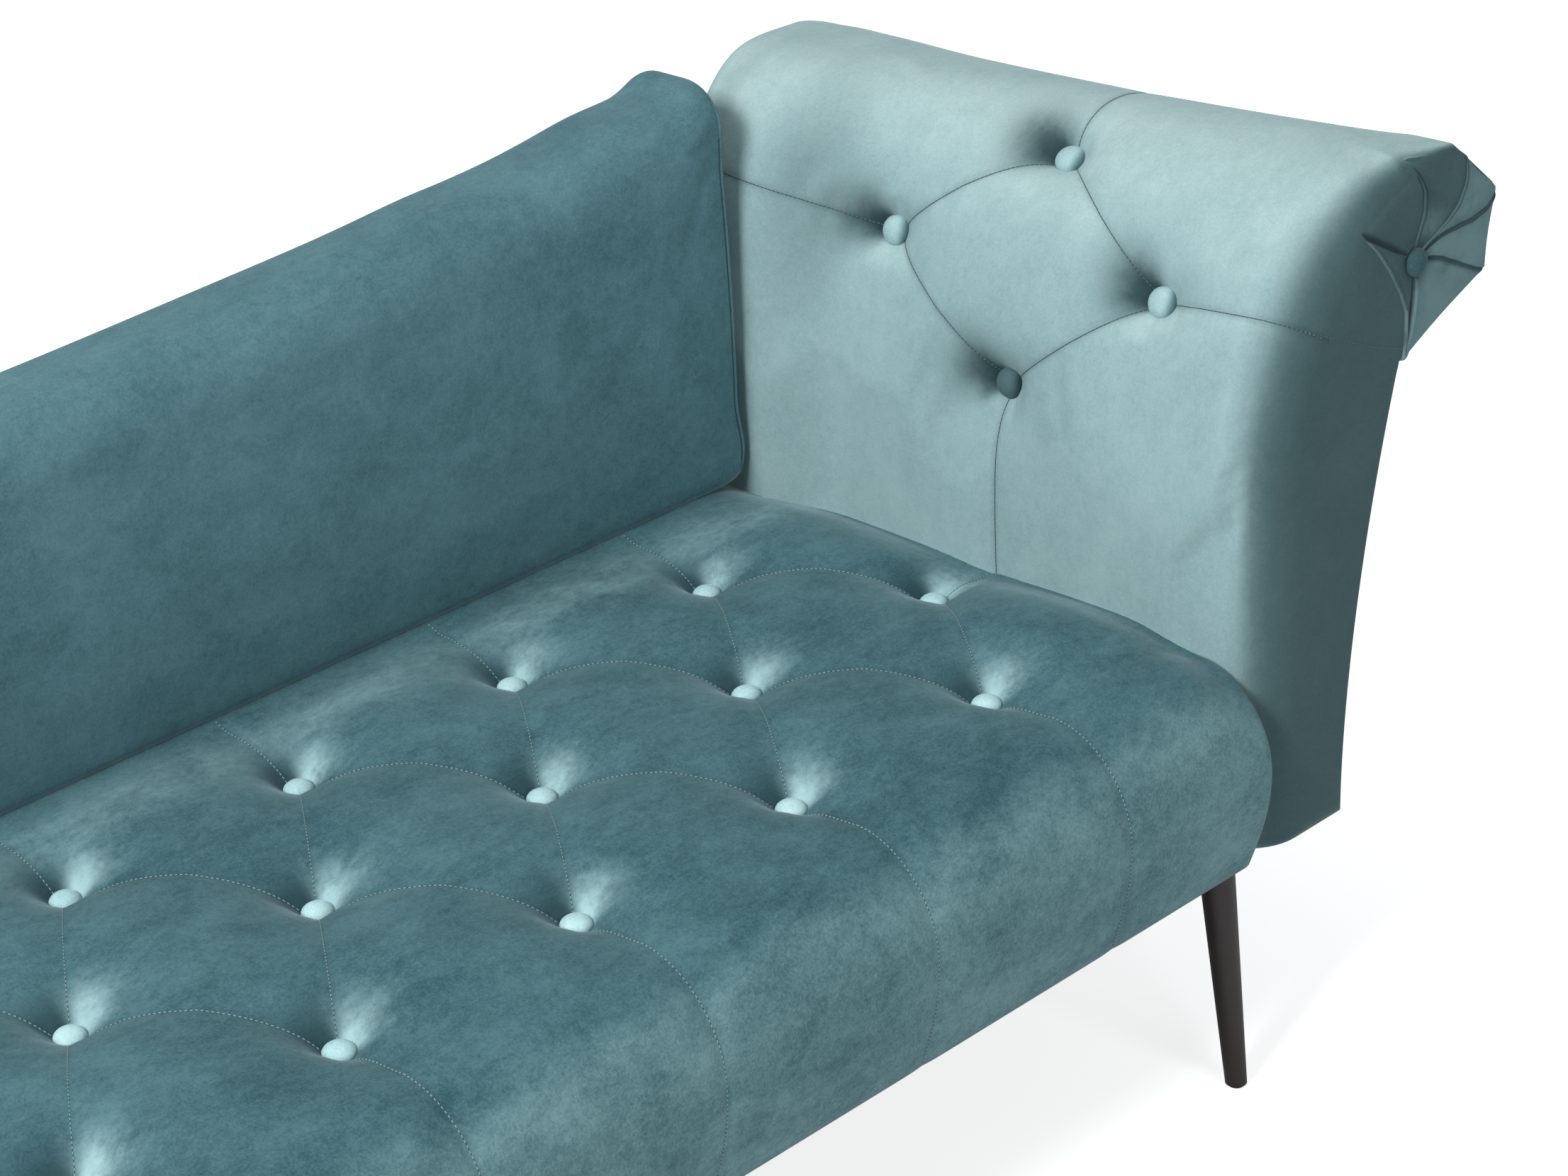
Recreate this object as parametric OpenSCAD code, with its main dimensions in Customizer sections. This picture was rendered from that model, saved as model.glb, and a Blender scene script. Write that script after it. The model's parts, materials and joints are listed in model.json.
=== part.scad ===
// Fainting couch with a diamond-tufted seat, one rolled arm and a sweeping low back.
// Units are millimetres. The floor is z = 0, the rolled arm is at +X and the back is at +Y.
// The origin lies on the floor under the middle of the whole couch.

/* [Overall] */
// Length from the foot end of the seat to the outside of the rolled arm
couch_length = 1640; // [1500:1:1880]
// Depth from the nose of the seat to the rear of the back
couch_depth = 725; // [700:1:800]
// Height of the rolled arm above the floor
arm_height = 839; // [815:1:900]
// Height of the underside of the upholstery above the floor
leg_height = 234; // [150:1:280]
// Highest point of the back above the floor, beside the arm
back_height = 862; // [830:1:920]

/* [Seat] */
// Height from the underside to the plane that the seat buttons are drawn down to
seat_body = 200; // [185:1:220]
// Rise of the padding above the button plane
seat_crown = 27; // [18:1:36]
// How far the nose of the seat stands out past the frame
nose_overhang = 25; // [12:1:32]
// Horizontal radius of the rounded nose
nose_round = 86; // [76:1:96]
// Height over which the nose rounds off
nose_drop = 97; // [80:1:120]
// How far the padding falls at the front and foot edges before the nose starts
nose_fall = 15; // [5:1:22]
// How far the padding falls where it meets the arm
arm_side_fall = 27; // [10:1:32]
// How far the padding falls where it meets the back
back_side_fall = 6; // [2:1:12]
// Width over which the padding falls at an edge
edge_soft = 48; // [35:1:60]

/* [Tufting] */
// Spacing of the seat buttons along the seat
tuft_pitch = 240; // [225:1:255]
// Spacing between the rows of seat buttons, as a share of the couch's depth
tuft_row_share = 0.2372; // [0.222:0.0002:0.245]
// Distance from the arm to the nearest seat button
tuft_from_arm = 78; // [65:1:90]
// Distance from the back to the rear row of seat buttons
tuft_from_back = 108; // [98:1:118]
// Radius of the hollow round a button
pit_radius = 45; // [35:1:55]
// Depth of a sewn seam below the padding beside it
seam_depth = 4; // [1:0.5:7]
// Width of a sewn seam's channel, from its middle to its side
seam_half = 11; // [7:1:16]
// Diameter of a covered button
button_d = 25; // [20:1:30]
// Height of a covered button
button_h = 7; // [5:0.5:9]
// How far the cover is drawn below the button plane
button_sink = 11; // [7:0.5:14]

/* [Legs] */
// Diameter of a leg at its top
leg_top_d = 33; // [28:1:36]
// Diameter of a leg at the floor
leg_foot_d = 20; // [16:1:26]
// Outward lean of a leg in each direction, in degrees
leg_splay = 3.1; // [0:0.1:5]
// Distance from the edge of the frame to the middle of a leg
leg_inset = 25.5; // [24:0.5:27]
// Distance from the rounded foot end of the frame to the middle of its legs
leg_inset_foot = 46; // [42:1:60]
// Diameter of the hanger bolt in a leg
leg_bolt_d = 8; // [6:1:8]
// Length of the hanger bolt inside a leg
leg_bolt_depth = 28; // [20:1:35]
// Length of the hanger bolt above a leg
leg_bolt_rise = 32; // [22:1:40]
// Height of the glide under a leg
glide_h = 3; // [2:0.5:5]

/* [Arm] */
// Width of the arm at its bottom
arm_foot_width = 118; // [105:1:130]
// Width of the arm at the neck under the roll
arm_neck_width = 202; // [190:1:212]
// Width of the whole arm, from its inner face to the outside of the roll
arm_width = 337; // [325:1:350]
// Share of the arm's rise over the underside that is reached at the neck under the roll
neck_rise_share = 0.683; // [0.66:0.001:0.7]
// Share of the arm's rise over the underside that the inner face climbs upright
upright_share = 0.526; // [0.48:0.001:0.55]
// Height of the roll above its middle
roll_radius = 104; // [96:1:110]
// Width of the roll beyond its middle
roll_half = 118; // [106:1:124]
// Distance that the roll draws in from its front end to its rear end
arm_taper = 64; // [40:1:70]
// Radius of the soft edge round both ends of the arm
arm_edge_round = 35; // [28:1:38]
// Distance up the inner face to the lowest arm button, as a share of the arm's rise
arm_tuft_base_share = 0.623; // [0.61:0.001:0.64]
// Half the spacing of the arm buttons along the face, as a share of the arm's rise
arm_tuft_rise_share = 0.192; // [0.175:0.001:0.2]
// Half the spacing of the arm buttons across the face
arm_tuft_half = 152; // [145:1:175]
// Depth that the arm buttons are drawn in
arm_tuft_depth = 22; // [14:1:23]
// Height of a pleat's fold
pleat_h = 6; // [3:0.5:9]

/* [Back] */
// Thickness of the padded back
back_thickness = 110; // [104:1:120]
// Crown of the front of the back
back_crown = 7; // [3:1:12]
// Radius of the top edge of the back
back_top_round = 42; // [36:1:48]
// Radius of the corner in the outline beside the arm
back_corner_round = 56; // [50:1:90]
// Radius of the corner at the end of the tail
back_tail_round = 38; // [30:1:42]
// Height of the tail of the back above the seat at the foot end
back_tail = 52; // [45:1:80]
// Gentle fall of the top edge along its middle stretch
back_slope_fall = 40; // [0:1:60]
// Steeper fall of the top edge beside the arm
back_sweep = 36; // [10:1:45]
// Length of the steeper fall beside the arm
back_sweep_length = 300; // [220:1:380]
// Distance from the foot end to the place where the top edge starts to drop
back_drop_start = 430; // [380:1:500]

/* [Frame] */
// Thickness of the rails
rail_t = 25; // [23:1:28]
// Height of the seat rails
rail_h = 90; // [75:1:92]
// Width of a back post
post_w = 45; // [35:1:60]
// Thickness of the shaped ribs in the arm
rib_t = 18; // [15:1:22]
// Thickness of the seat foam
foam_t = 78; // [60:1:79]
// Width of a strap of webbing
strap_w = 60; // [50:1:65]
// Diameter of the frame bolts
bolt_d = 8; // [6:1:8]

/* [Hidden] */
$fn = 48;

// Clearance between pieces that lie against each other
gap = 0.3;
// Overrun of a cut past the face that it opens
over = 2;
// Wall of the seat cover at its front and foot edges
cover_wall = 8;
// Wall of the seat cover at the rear and beside the arm
side_wall = 6;
// Thickness of the cover and wadding under a button
pad_skin = 10;
// Distance of the foam's edges inside the frame's, which leaves a thick soft nose round it
foam_set = 34;
// Depth of the quilted layer of the arm cover under its surface
arm_skin = 28;
// Wall of the arm cover at its two ends
arm_end_wall = 10;
// Width of the lip of the arm cover on the underside of the roll
arm_lip_w = 32;
// Depth of the quilted layer at the front of the back
back_skin = 20;
// Depth of the cover over the top and at the two ends of the back
back_top_skin = 26;
back_end_wall = 14;
// Thickness of the foam on the arm and on the back
arm_foam_t = 12;
back_foam_t = 24;
// Thickness of the liner boards in the arm and the back
liner_t = 3;
// Thickness of the outer and rear panels
panel_t = 4;
// Radius and height of the threaded insert over a leg
insert_r = 6;
insert_h = 24;
// Radial clearance of a bolt in its hole
hole_gap = 0.25;
// Thickness of webbing, of hessian and of the cloth under the couch
strap_t = 2;
hessian_t = 1;
dust_t = 0.8;
// Side and height of a corner block
block_w = 78;
block_h = 45;
// Radius of the shank under a covered button
shank_r = 3;
// Height of a bolt's head and of a nut, and their width across the corners
head_h = 5.5;
nut_h = 6.5;
head_wide = 15;
// Radii of the back's other soft edges
back_end_round = 25;
back_rear_round = 30;
// Clearance between the back and the arm
back_arm_gap = 16;
// Distance from the crest of the foot end to the tail of the back
back_tail_set = 12;
// Distance from the rear of the back to the rear end of the arm
arm_rear_set = 11;
// Distance of the middle of the arm's tufting in front of the seat's middle row
arm_tuft_set = 6;
// Height of the centre rails
centre_rail_h = 62;
// Spacing of the webbing straps as a multiple of their width
strap_spread = 1.55;
// Half the width of the space that a leg leans through
leg_reach = 60;
// Pleats in a scroll's fan, and the share of a pleat that rises to its fold
pleats = 7;
fold_share = 0.82;
// Height of the back's bottom rail and depth of its shaped top rail
back_bottom_h = 22;
back_top_depth = 60;
// Width and depth of the battens that tie the arm's ribs
batten_w = 40;
batten_d = 22;
// Height of the arm's lower rail
arm_rail_h = 80;
// Radius of the arm's edges on the underside of the roll and down the outside
arm_lip_round = 12;
arm_outer_round = 8;
// Distance of the fan's rim inside the flat end of the roll, and its thickness at the hub
fan_margin = 3;
fan_hub = 2;
// Height of the scroll buttons' base over the end of the arm
scroll_button_stand = 3.6;
// Offset of a scroll button from the middle of the roll, towards the seat and up
scroll_button_in = 2;
scroll_button_up = 3;
// Small share of a step used to find directions along the arm's outline
probe = 0.3;
// Share of the roll's drawing in that its neck follows
neck_share = 0.5;

x_end = couch_length / 2;
y_nose = -couch_depth / 2;
y_front = y_nose + nose_overhang;
y_rear = couch_depth / 2;
y_back_face = y_rear - back_thickness;
x_arm_in = x_end - arm_width;
x_seat_end = x_arm_in - gap;
x_back_right = x_arm_in - back_arm_gap;
x_frame_foot = -x_end + nose_overhang;
z_under = leg_height;
z_plane = z_under + seat_body;
z_pit = z_plane - button_sink;
z_bed = z_plane + seat_crown - back_side_fall;
z_cavity = z_pit - pad_skin;

// Lines of the tufted grid. Each cell between two buttons is cut at these shares,
// so that every seam runs along the diagonals of the grid.
cell_shares = [0, 0.16, 0.5, 0.84];
tuft_half = tuft_pitch / 2;
x_tuft_first = x_arm_in - tuft_from_arm;
x_crest = -x_end + nose_round;
y_crest = y_nose + nose_round;
tuft_foot_margin_share = 0.25;
tuft_cols = floor((x_tuft_first - x_crest) / tuft_half - tuft_foot_margin_share);
x_tuft_last = x_tuft_first - tuft_cols * tuft_half;
y_row_c = y_back_face - tuft_from_back;
tuft_row = tuft_row_share * couch_depth;
y_row_b = y_row_c - tuft_row;
y_row_a = y_row_b - tuft_row;
foot_gap = x_tuft_last - x_crest;
front_gap = y_row_a - y_crest;

arm_side_shares = [0.72, 0.25];
edge_side_shares = [0.35];
x_lines = concat(
    [x_seat_end],
    [for (s = arm_side_shares) x_tuft_first + s * tuft_from_arm],
    [for (c = [0 : tuft_cols - 1], s = cell_shares) x_tuft_first - (c + s) * tuft_half],
    [x_tuft_last],
    [for (s = edge_side_shares) x_tuft_last - s * foot_gap],
    [x_crest]
);
back_side_shares = [0.18, 0.55, 1];
y_lines = concat(
    [y_crest],
    [for (s = edge_side_shares) y_row_a - s * front_gap],
    [for (r = [0 : 1], s = cell_shares) y_row_a + (r + s) * tuft_row],
    [y_row_c],
    [for (s = back_side_shares) y_row_c + s * tuft_from_back],
    [y_rear]
);

// Columns with an even number hold the middle row's buttons, odd columns the outer rows'.
function col_x(c) = x_tuft_first - c * tuft_half;
function is_even(c) = c % 2 == 0;
seat_tufts = concat(
    [for (c = [0 : tuft_cols]) if (is_even(c)) [col_x(c), y_row_b]],
    [for (c = [0 : tuft_cols]) if (!is_even(c)) [col_x(c), y_row_a]],
    [for (c = [0 : tuft_cols]) if (!is_even(c)) [col_x(c), y_row_c]]
);
diagonal_seams = [
    for (c = [0 : tuft_cols - 1], y_out = [y_row_a, y_row_c])
        let (even = is_even(c))
        [[col_x(even ? c : c + 1), y_row_b], [col_x(even ? c + 1 : c), y_out]]
];
run_out_seams = concat(
    [for (c = [0 : tuft_cols]) if (!is_even(c)) [[col_x(c), y_row_a], [col_x(c), y_crest]]],
    [for (c = [0 : tuft_cols]) if (!is_even(c)) [[col_x(c), y_row_c], [col_x(c), y_back_face]]],
    [[[col_x(0), y_row_b], [x_arm_in, y_row_b]]],
    is_even(tuft_cols)
        ? [[[x_tuft_last, y_row_b], [x_crest, y_row_b]]]
        : [for (y = [y_row_a, y_row_c]) [[x_tuft_last, y], [x_crest, y]]]
);
seat_seams = concat(diagonal_seams, run_out_seams);

function reversed(list) = [for (i = [len(list) - 1 : -1 : 0]) list[i]];
function clamp(v, low, high) = min(max(v, low), high);
function segment_distance(p, a, b) =
    let (t = clamp((p - a) * (b - a) / ((b - a) * (b - a)), 0, 1))
    norm(p - a - t * (b - a));
function bell(d, width) = exp(-pow(d / width, 2));
function edge_fall(d, amount) = amount * bell(max(d, 0), edge_soft);
function seam_dip(p, seams, depth) =
    depth * bell(min([for (s = seams) segment_distance(p, s[0], s[1])]), seam_half);
function pit_dip(p, tufts, depth) =
    depth * bell(min([for (t = tufts) norm(p - t)]), pit_radius);

// Height of the seat's surface over a point in plan
function seat_pad(p) = z_plane + seat_crown
    - edge_fall(p.y - y_crest, nose_fall)
    - edge_fall(p.x - x_crest, nose_fall) * clamp((y_back_face - p.y) / tuft_from_back, 0, 1)
    - edge_fall(x_arm_in - p.x, arm_side_fall)
    - edge_fall(y_back_face - p.y, back_side_fall);
function seat_dips(p) =
    p.y > y_back_face ? 0
    : max(seam_dip(p, seat_seams, seam_depth), pit_dip(p, seat_tufts, seat_crown + button_sink));
function seat_z(p) = seat_pad(p) - seat_dips(p);

// Rings of the rounded nose, from the crest down to the underside.
// Each is an outward reach and a drop as a share of the crest's height over the underside.
nose_upper_steps = 5;
nose_lower_steps = 3;
nose_share = nose_drop / (z_plane + seat_crown - nose_fall - z_under);
function nose_ring(k) = k <= nose_upper_steps
    ? let (a = 90 * k / nose_upper_steps)
        [nose_round * sin(a), nose_share * (1 - cos(a))]
    : let (t = (k - nose_upper_steps) / nose_lower_steps)
        [nose_round - nose_overhang * (1 - cos(90 * t)), nose_share + (1 - nose_share) * t];
nose_rings = nose_upper_steps + nose_lower_steps;
corner_steps = 5;

// A tufted, crowned seat body: a grid over the top, rings down the front and foot sides,
// and flat faces against the arm, at the rear and underneath
module tufted_seat_body() {
    nx = len(x_lines);
    ny = len(y_lines);
    top = [for (x = x_lines, y = y_lines) [x, y, seat_z([x, y])]];
    function top_id(i, j) = i * ny + j;
    // The crest runs along the front, round the corner and along the foot end
    crest = concat(
        [for (i = [0 : nx - 1]) [top_id(i, 0), 270]],
        [for (k = [1 : corner_steps - 1]) [top_id(nx - 1, 0), 270 - 90 * k / corner_steps]],
        [for (j = [0 : ny - 1]) [top_id(nx - 1, j), 180]]
    );
    nc = len(crest);
    rings = [
        for (k = [1 : nose_rings], c = crest)
            let (p = top[c[0]], r = nose_ring(k), dip = seam_dip([p.x, p.y], seat_seams, seam_depth))
            let (reach = r[0] - dip * sin(90 * k / nose_rings))
            [p.x + reach * cos(c[1]), p.y + reach * sin(c[1]), z_under + (p.z - z_under) * (1 - r[1])]
    ];
    function ring_id(k, c) = k == 0 ? crest[c][0] : nx * ny + (k - 1) * nc + c;
    corner_id = nx * ny + nose_rings * nc;
    points = concat(top, rings, [[x_seat_end, y_rear, z_under]]);
    // Every seam runs along a diagonal, so a cell is split the way that its seam goes
    first_row = 1 + len(edge_side_shares);
    first_col = len(arm_side_shares) + 1;
    n_cell = len(cell_shares);
    function falling(i, j) =
        is_even(floor((i - first_col) / n_cell) + floor((j - first_row) / n_cell));
    grid_faces = [
        for (i = [0 : nx - 2], j = [0 : ny - 2])
            let (a = top_id(i, j), b = top_id(i + 1, j), c = top_id(i + 1, j + 1), d = top_id(i, j + 1))
            each (falling(i, j) ? [[a, b, d], [b, c, d]] : [[a, b, c], [a, c, d]])
    ];
    side_faces = [
        for (k = [0 : nose_rings - 1], c = [0 : nc - 2])
            let (a = ring_id(k, c), b = ring_id(k + 1, c))
            let (d = ring_id(k, c + 1), e = ring_id(k + 1, c + 1))
            each (a == d ? [[a, b, e]] : [[a, b, e], [a, e, d]])
    ];
    arm_face = concat(
        [for (j = [ny - 1 : -1 : 0]) top_id(0, j)],
        [for (k = [1 : nose_rings]) ring_id(k, 0)],
        [corner_id]
    );
    rear_face = concat(
        [for (i = [0 : nx - 1]) top_id(i, ny - 1)],
        [for (k = [1 : nose_rings]) ring_id(k, nc - 1)],
        [corner_id]
    );
    under_face = concat([for (c = [0 : nc - 1]) ring_id(nose_rings, c)], [corner_id]);
    polyhedron(
        points = points,
        faces = concat(grid_faces, side_faces, [reversed(arm_face), rear_face, reversed(under_face)]),
        convexity = 6
    );
}

// Line of the back's top edge: a steep sweep beside the arm, a gentle fall, then a drop to the tail
x_back_left = x_crest + back_tail_set;
x_drop = -x_end + back_drop_start;
x_drop_end = x_back_left + back_tail_round;
sweep_power = 1.5;
function back_line(x) =
    let (sweep = clamp((x - x_back_right) / back_sweep_length + 1, 0, 1))
    let (mid = clamp((x_back_right - x) / (x_back_right - x_drop), 0, 1))
    back_height - back_slope_fall * mid - back_sweep * (1 - pow(sweep, sweep_power));
function back_top(x) =
    let (t = clamp((x_drop - x) / (x_drop - x_drop_end), 0, 1))
    let (tail = z_bed + back_tail)
    tail + (back_line(x) - tail) * (1 + cos(180 * t)) / 2;

// A box between two opposite corners
module block(low, high) { translate(low) cube(high - low); }
// A profile drawn in x and z, carried along y between two planes
module along_y(y0, y1) {
    translate([0, y1, 0]) rotate([90, 0, 0]) linear_extrude(y1 - y0) children();
}
// Triangles that close a ring of points, taking the shorter way across at each step
function cap(points, ring, i, j) =
    j - i < 2 ? []
    : norm(points[ring[i + 1]] - points[ring[j]]) < norm(points[ring[i]] - points[ring[j - 1]])
        ? concat([[ring[i], ring[i + 1], ring[j]]], cap(points, ring, i + 1, j))
        : concat([[ring[i], ring[j - 1], ring[j]]], cap(points, ring, i, j - 1));
// A covered button seen along +z: a domed cap on a short shank
module covered_button(shank_l) {
    dome_share = 0.65;
    edge_h = button_h * (1 - dome_share);
    dome = [
        for (i = [0 : 8])
            let (a = 90 * i / 8)
            [button_d / 2 * cos(a), edge_h + button_h * dome_share * sin(a)]
    ];
    rotate_extrude() polygon(concat([[0, 0], [button_d / 2, 0]], dome));
    translate([0, 0, -shank_l]) cylinder(h = shank_l, r = shank_r);
}
// Share of a pit's depth at which a button's rim meets the sloping cover
button_seat_share = 0.18;
shank_share = 0.15;

// Places inside the seat cover
z_frame = z_under + dust_t + gap;
z_rail_top = z_frame + rail_h;
z_hessian = z_rail_top + 2 * strap_t;
z_foam = z_hessian + hessian_t + gap;
x_deck_foot = x_frame_foot + cover_wall;
x_deck_arm = x_seat_end - side_wall;
y_deck_front = y_front + cover_wall;
y_deck_rear = y_rear - side_wall;
deck_round = nose_round - nose_overhang - cover_wall;
x_head_rail = x_deck_arm - gap - rail_t;
x_foot_rail = x_deck_foot + gap + rail_t;
y_front_rail = y_deck_front + gap + rail_t;
y_rear_rail = y_deck_rear - gap - rail_t;

// Places inside the back cover, from the front to the rear
y_back_foam = y_back_face + back_skin + gap;
y_back_liner = y_back_foam + back_foam_t + gap;
y_frame = y_back_liner + liner_t + gap;
y_frame_rear = y_rear - panel_t - 2 * gap;
y_post_rear = y_rear_rail - gap;
x_post_right = x_head_rail - gap - post_w;
post_shares = [0.5, 0.85];
x_post_middle = x_post_right + post_shares[0] * (x_drop - x_post_right);
x_post_left = x_post_right + post_shares[1] * (x_drop_end - x_post_right) / 1.08;
x_posts = [x_post_right, x_post_middle, x_post_left];

// Outline of the space inside the seat cover, with the rounded front corner of the foot end
module deck_outline(inset) {
    x0 = x_deck_foot + inset;
    x1 = x_deck_arm - inset;
    y0 = y_deck_front + inset;
    y1 = y_deck_rear - inset;
    translate([x_crest, y0]) square([x1 - x_crest, y1 - y0]);
    translate([x0, y_crest]) square([x_crest - x0 + over, y1 - y_crest]);
    translate([x_crest, y_crest]) circle(deck_round - inset);
}
module deck_slab(inset, z0, z1) {
    translate([0, 0, z0]) linear_extrude(z1 - z0) deck_outline(inset);
}

// Places of the legs: middle of the top, and the way that each one leans
leg_places = [
    [x_arm_in - leg_inset, y_front + leg_inset, 1, -1],
    [x_frame_foot + leg_inset_foot, y_front + leg_inset, -1, -1],
    [x_arm_in - leg_inset, y_rear - leg_inset, 1, 1],
    [x_frame_foot + leg_inset_foot, y_rear - leg_inset, -1, 1]
];
function leg_foot(p) =
    [p[0] + p[2] * tan(leg_splay) * z_frame, p[1] + p[3] * tan(leg_splay) * z_frame, 0];

module leg_bolt_holes() {
    for (p = leg_places) {
        translate([p[0], p[1], z_frame - over]) {
            cylinder(h = insert_h + over, r = insert_r + hole_gap);
            cylinder(h = leg_bolt_rise + 2 * over, d = leg_bolt_d + 2 * hole_gap);
        }
    }
}

// Seat frame
module front_rail() {
    color("burlywood") difference() {
        intersection() {
            block([x_deck_foot, y_deck_front, z_frame], [x_deck_arm - gap, y_front_rail, z_rail_top]);
            deck_slab(gap, z_frame, z_rail_top);
        }
        leg_bolt_holes();
    }
}
module rear_rail() {
    color("burlywood") difference() {
        block([x_deck_foot + gap, y_rear_rail, z_frame],
            [x_deck_arm - gap, y_deck_rear - gap, z_rail_top]);
        leg_bolt_holes();
        back_bolt_holes();
        for (b = back_bolt_places) {
            translate([b[0], y_deck_rear - gap + over, b[1]]) rotate([90, 0, 0])
                cylinder(h = nut_h + gap + over, d = head_wide + 2 * hole_gap);
        }
    }
}
module head_rail() {
    color("burlywood") difference() {
        block([x_head_rail, y_front_rail + gap, z_frame],
            [x_deck_arm - gap, y_rear_rail - gap, z_rail_top]);
        arm_bolt_holes();
    }
}
module foot_rail() {
    color("burlywood") intersection() {
        block([x_deck_foot, y_front_rail + gap, z_frame],
            [x_foot_rail, y_rear_rail - gap, z_rail_top]);
        deck_slab(gap, z_frame, z_rail_top);
    }
}
module centre_rails() {
    color("burlywood") for (post = [x_post_left, x_post_middle]) {
        x = post + post_w + gap;
        block([x, y_front_rail + gap, z_frame], [x + rail_t, y_rear_rail - gap, z_frame + centre_rail_h]);
    }
}
module corner_block(x, y, turn) {
    translate([x, y, z_frame]) rotate([0, 0, turn]) linear_extrude(block_h)
        polygon([[gap, gap], [block_w, gap], [gap, block_w]]);
}
module corner_blocks() {
    color("tan") {
        corner_block(x_foot_rail, y_front_rail, 0);
        corner_block(x_head_rail, y_front_rail, 90);
        corner_block(x_foot_rail, y_rear_rail, 270);
    }
}

// Springing and padding of the seat
module cross_webbing() {
    bays = [
        [x_foot_rail, x_post_left],
        [x_post_left + post_w, x_post_middle],
        [x_post_middle + post_w, x_post_right]
    ];
    color("wheat") for (bay = bays) {
        width = bay[1] - bay[0];
        n = floor(width / (strap_w * strap_spread));
        for (k = [0 : n - 1]) {
            x = bay[0] + (k + 0.5) * width / n - strap_w / 2;
            block([x, y_deck_front + cover_wall, z_rail_top],
                [x + strap_w, y_deck_rear - gap, z_rail_top + strap_t]);
        }
    }
}
module long_webbing() {
    width = y_frame - y_front_rail;
    n = floor(width / (strap_w * strap_spread));
    color("wheat") for (k = [0 : n - 1]) {
        y = y_front_rail + (k + 0.5) * width / n - strap_w / 2;
        block([x_deck_foot + gap, y, z_rail_top + strap_t],
            [x_deck_arm - gap, y + strap_w, z_rail_top + 2 * strap_t]);
    }
}
module seat_layer(inset, z0, z1) {
    intersection() {
        deck_slab(inset, z0, z1);
        block([x_deck_foot, y_deck_front, z0 - over], [x_deck_arm, y_frame - gap, z1 + over]);
    }
}
module hessian_sheet() { color("peru") seat_layer(gap, z_hessian, z_hessian + hessian_t); }
module seat_foam() { color("lightyellow") seat_layer(foam_set + gap, z_foam, z_foam + foam_t); }
module seat_cover() {
    color("teal") difference() {
        tufted_seat_body();
        deck_slab(0, z_under - over, z_foam - gap);
        deck_slab(foam_set, z_under, z_cavity);
        for (x = x_posts) {
            block([x - gap, y_frame - gap, z_foam - over],
                [x + post_w + gap, y_post_rear + gap, z_bed + over]);
        }
        arm_bolt_holes();
    }
}
module seat_buttons() {
    depth = seat_crown + button_sink;
    color("teal") for (t = seat_tufts) {
        translate([t.x, t.y, seat_z(t) + button_seat_share * depth]) covered_button(shank_share * depth);
    }
}
module dust_cover() {
    color("dimgray") difference() {
        deck_slab(gap, z_under, z_under + dust_t);
        for (p = leg_places) {
            translate([p[0], p[1], z_under - over])
                cylinder(h = dust_t + 2 * over, d = leg_top_d + 2 * over);
        }
    }
}

// Legs
module leg(p) {
    lean = atan(sqrt(2) * tan(leg_splay));
    turn = atan2(-p[3], -p[2]);
    leg_l = z_frame / cos(lean);
    taper = (leg_top_d - leg_foot_d) / 2 / leg_l;
    color("black") difference() {
        intersection() {
            translate(leg_foot(p)) rotate([0, lean, turn]) translate([0, 0, -over])
                cylinder(h = leg_l + 2 * over, r1 = leg_foot_d / 2 - taper * over,
                    r2 = leg_top_d / 2 + taper * over);
            block([p[0] - leg_reach, p[1] - leg_reach, glide_h],
                [p[0] + leg_reach, p[1] + leg_reach, z_frame]);
        }
        translate([p[0], p[1], z_frame - leg_bolt_depth - over])
            cylinder(h = leg_bolt_depth + 2 * over, d = leg_bolt_d + 2 * hole_gap);
    }
}
module leg_front_right() { leg(leg_places[0]); }
module leg_front_left() { leg(leg_places[1]); }
module leg_rear_right() { leg(leg_places[2]); }
module leg_rear_left() { leg(leg_places[3]); }
module leg_inserts() {
    color("silver") for (p = leg_places) {
        translate([p[0], p[1], z_frame]) difference() {
            cylinder(h = insert_h, r = insert_r);
            translate([0, 0, -over])
                cylinder(h = insert_h + 2 * over, d = leg_bolt_d + 2 * hole_gap);
        }
    }
}
module leg_bolts() {
    color("silver") for (p = leg_places) {
        translate([p[0], p[1], z_frame - leg_bolt_depth])
            cylinder(h = leg_bolt_depth + leg_bolt_rise, d = leg_bolt_d);
    }
}
module leg_glides() {
    r = leg_foot_d / 2;
    rim = glide_h / 2;
    color("dimgray") for (p = leg_places) {
        translate(leg_foot(p)) rotate_extrude()
            polygon([[0, 0], [r - 2 * rim, 0], [r - rim, rim], [r - rim, glide_h], [0, glide_h]]);
    }
}

// Outline of the arm: up the inner face, over the shoulder and the roll,
// back under the roll to the neck and down the outside. Towards the rear the
// roll draws in and the shoulder grows squarer.
y_arm_rear = y_rear - arm_rear_set;
y_arm_mid = y_row_b - arm_tuft_set;
arm_rise = arm_height - z_under;
z_shoulder = z_under + upright_share * arm_rise;
z_neck = z_under + neck_rise_share * arm_rise;
roll_z = arm_height - roll_radius;
x_neck = x_arm_in + arm_neck_width;
x_arm_foot = x_arm_in + arm_foot_width;
taper_power = 2.3;
shoulder_powers = [2, 4.4];
square_power = 4;
outer_power = 1.4;
roll_lip_angle = -22;
shoulder_steps = 14;
roll_steps = 12;
outer_steps = 5;
k_shoulder = 1 + shoulder_steps;
k_lip = k_shoulder + roll_steps;
k_neck = k_lip + 1;
k_end = k_neck + outer_steps;
y_taper = y_front + arm_edge_round;
function arm_share(y) = clamp((y - y_taper) / (y_arm_rear - y_taper), 0, 1);
function arm_draw(y) = arm_taper * (1 - pow(1 - arm_share(y), taper_power));
function roll_x(y) = x_end - roll_half - arm_draw(y);
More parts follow.
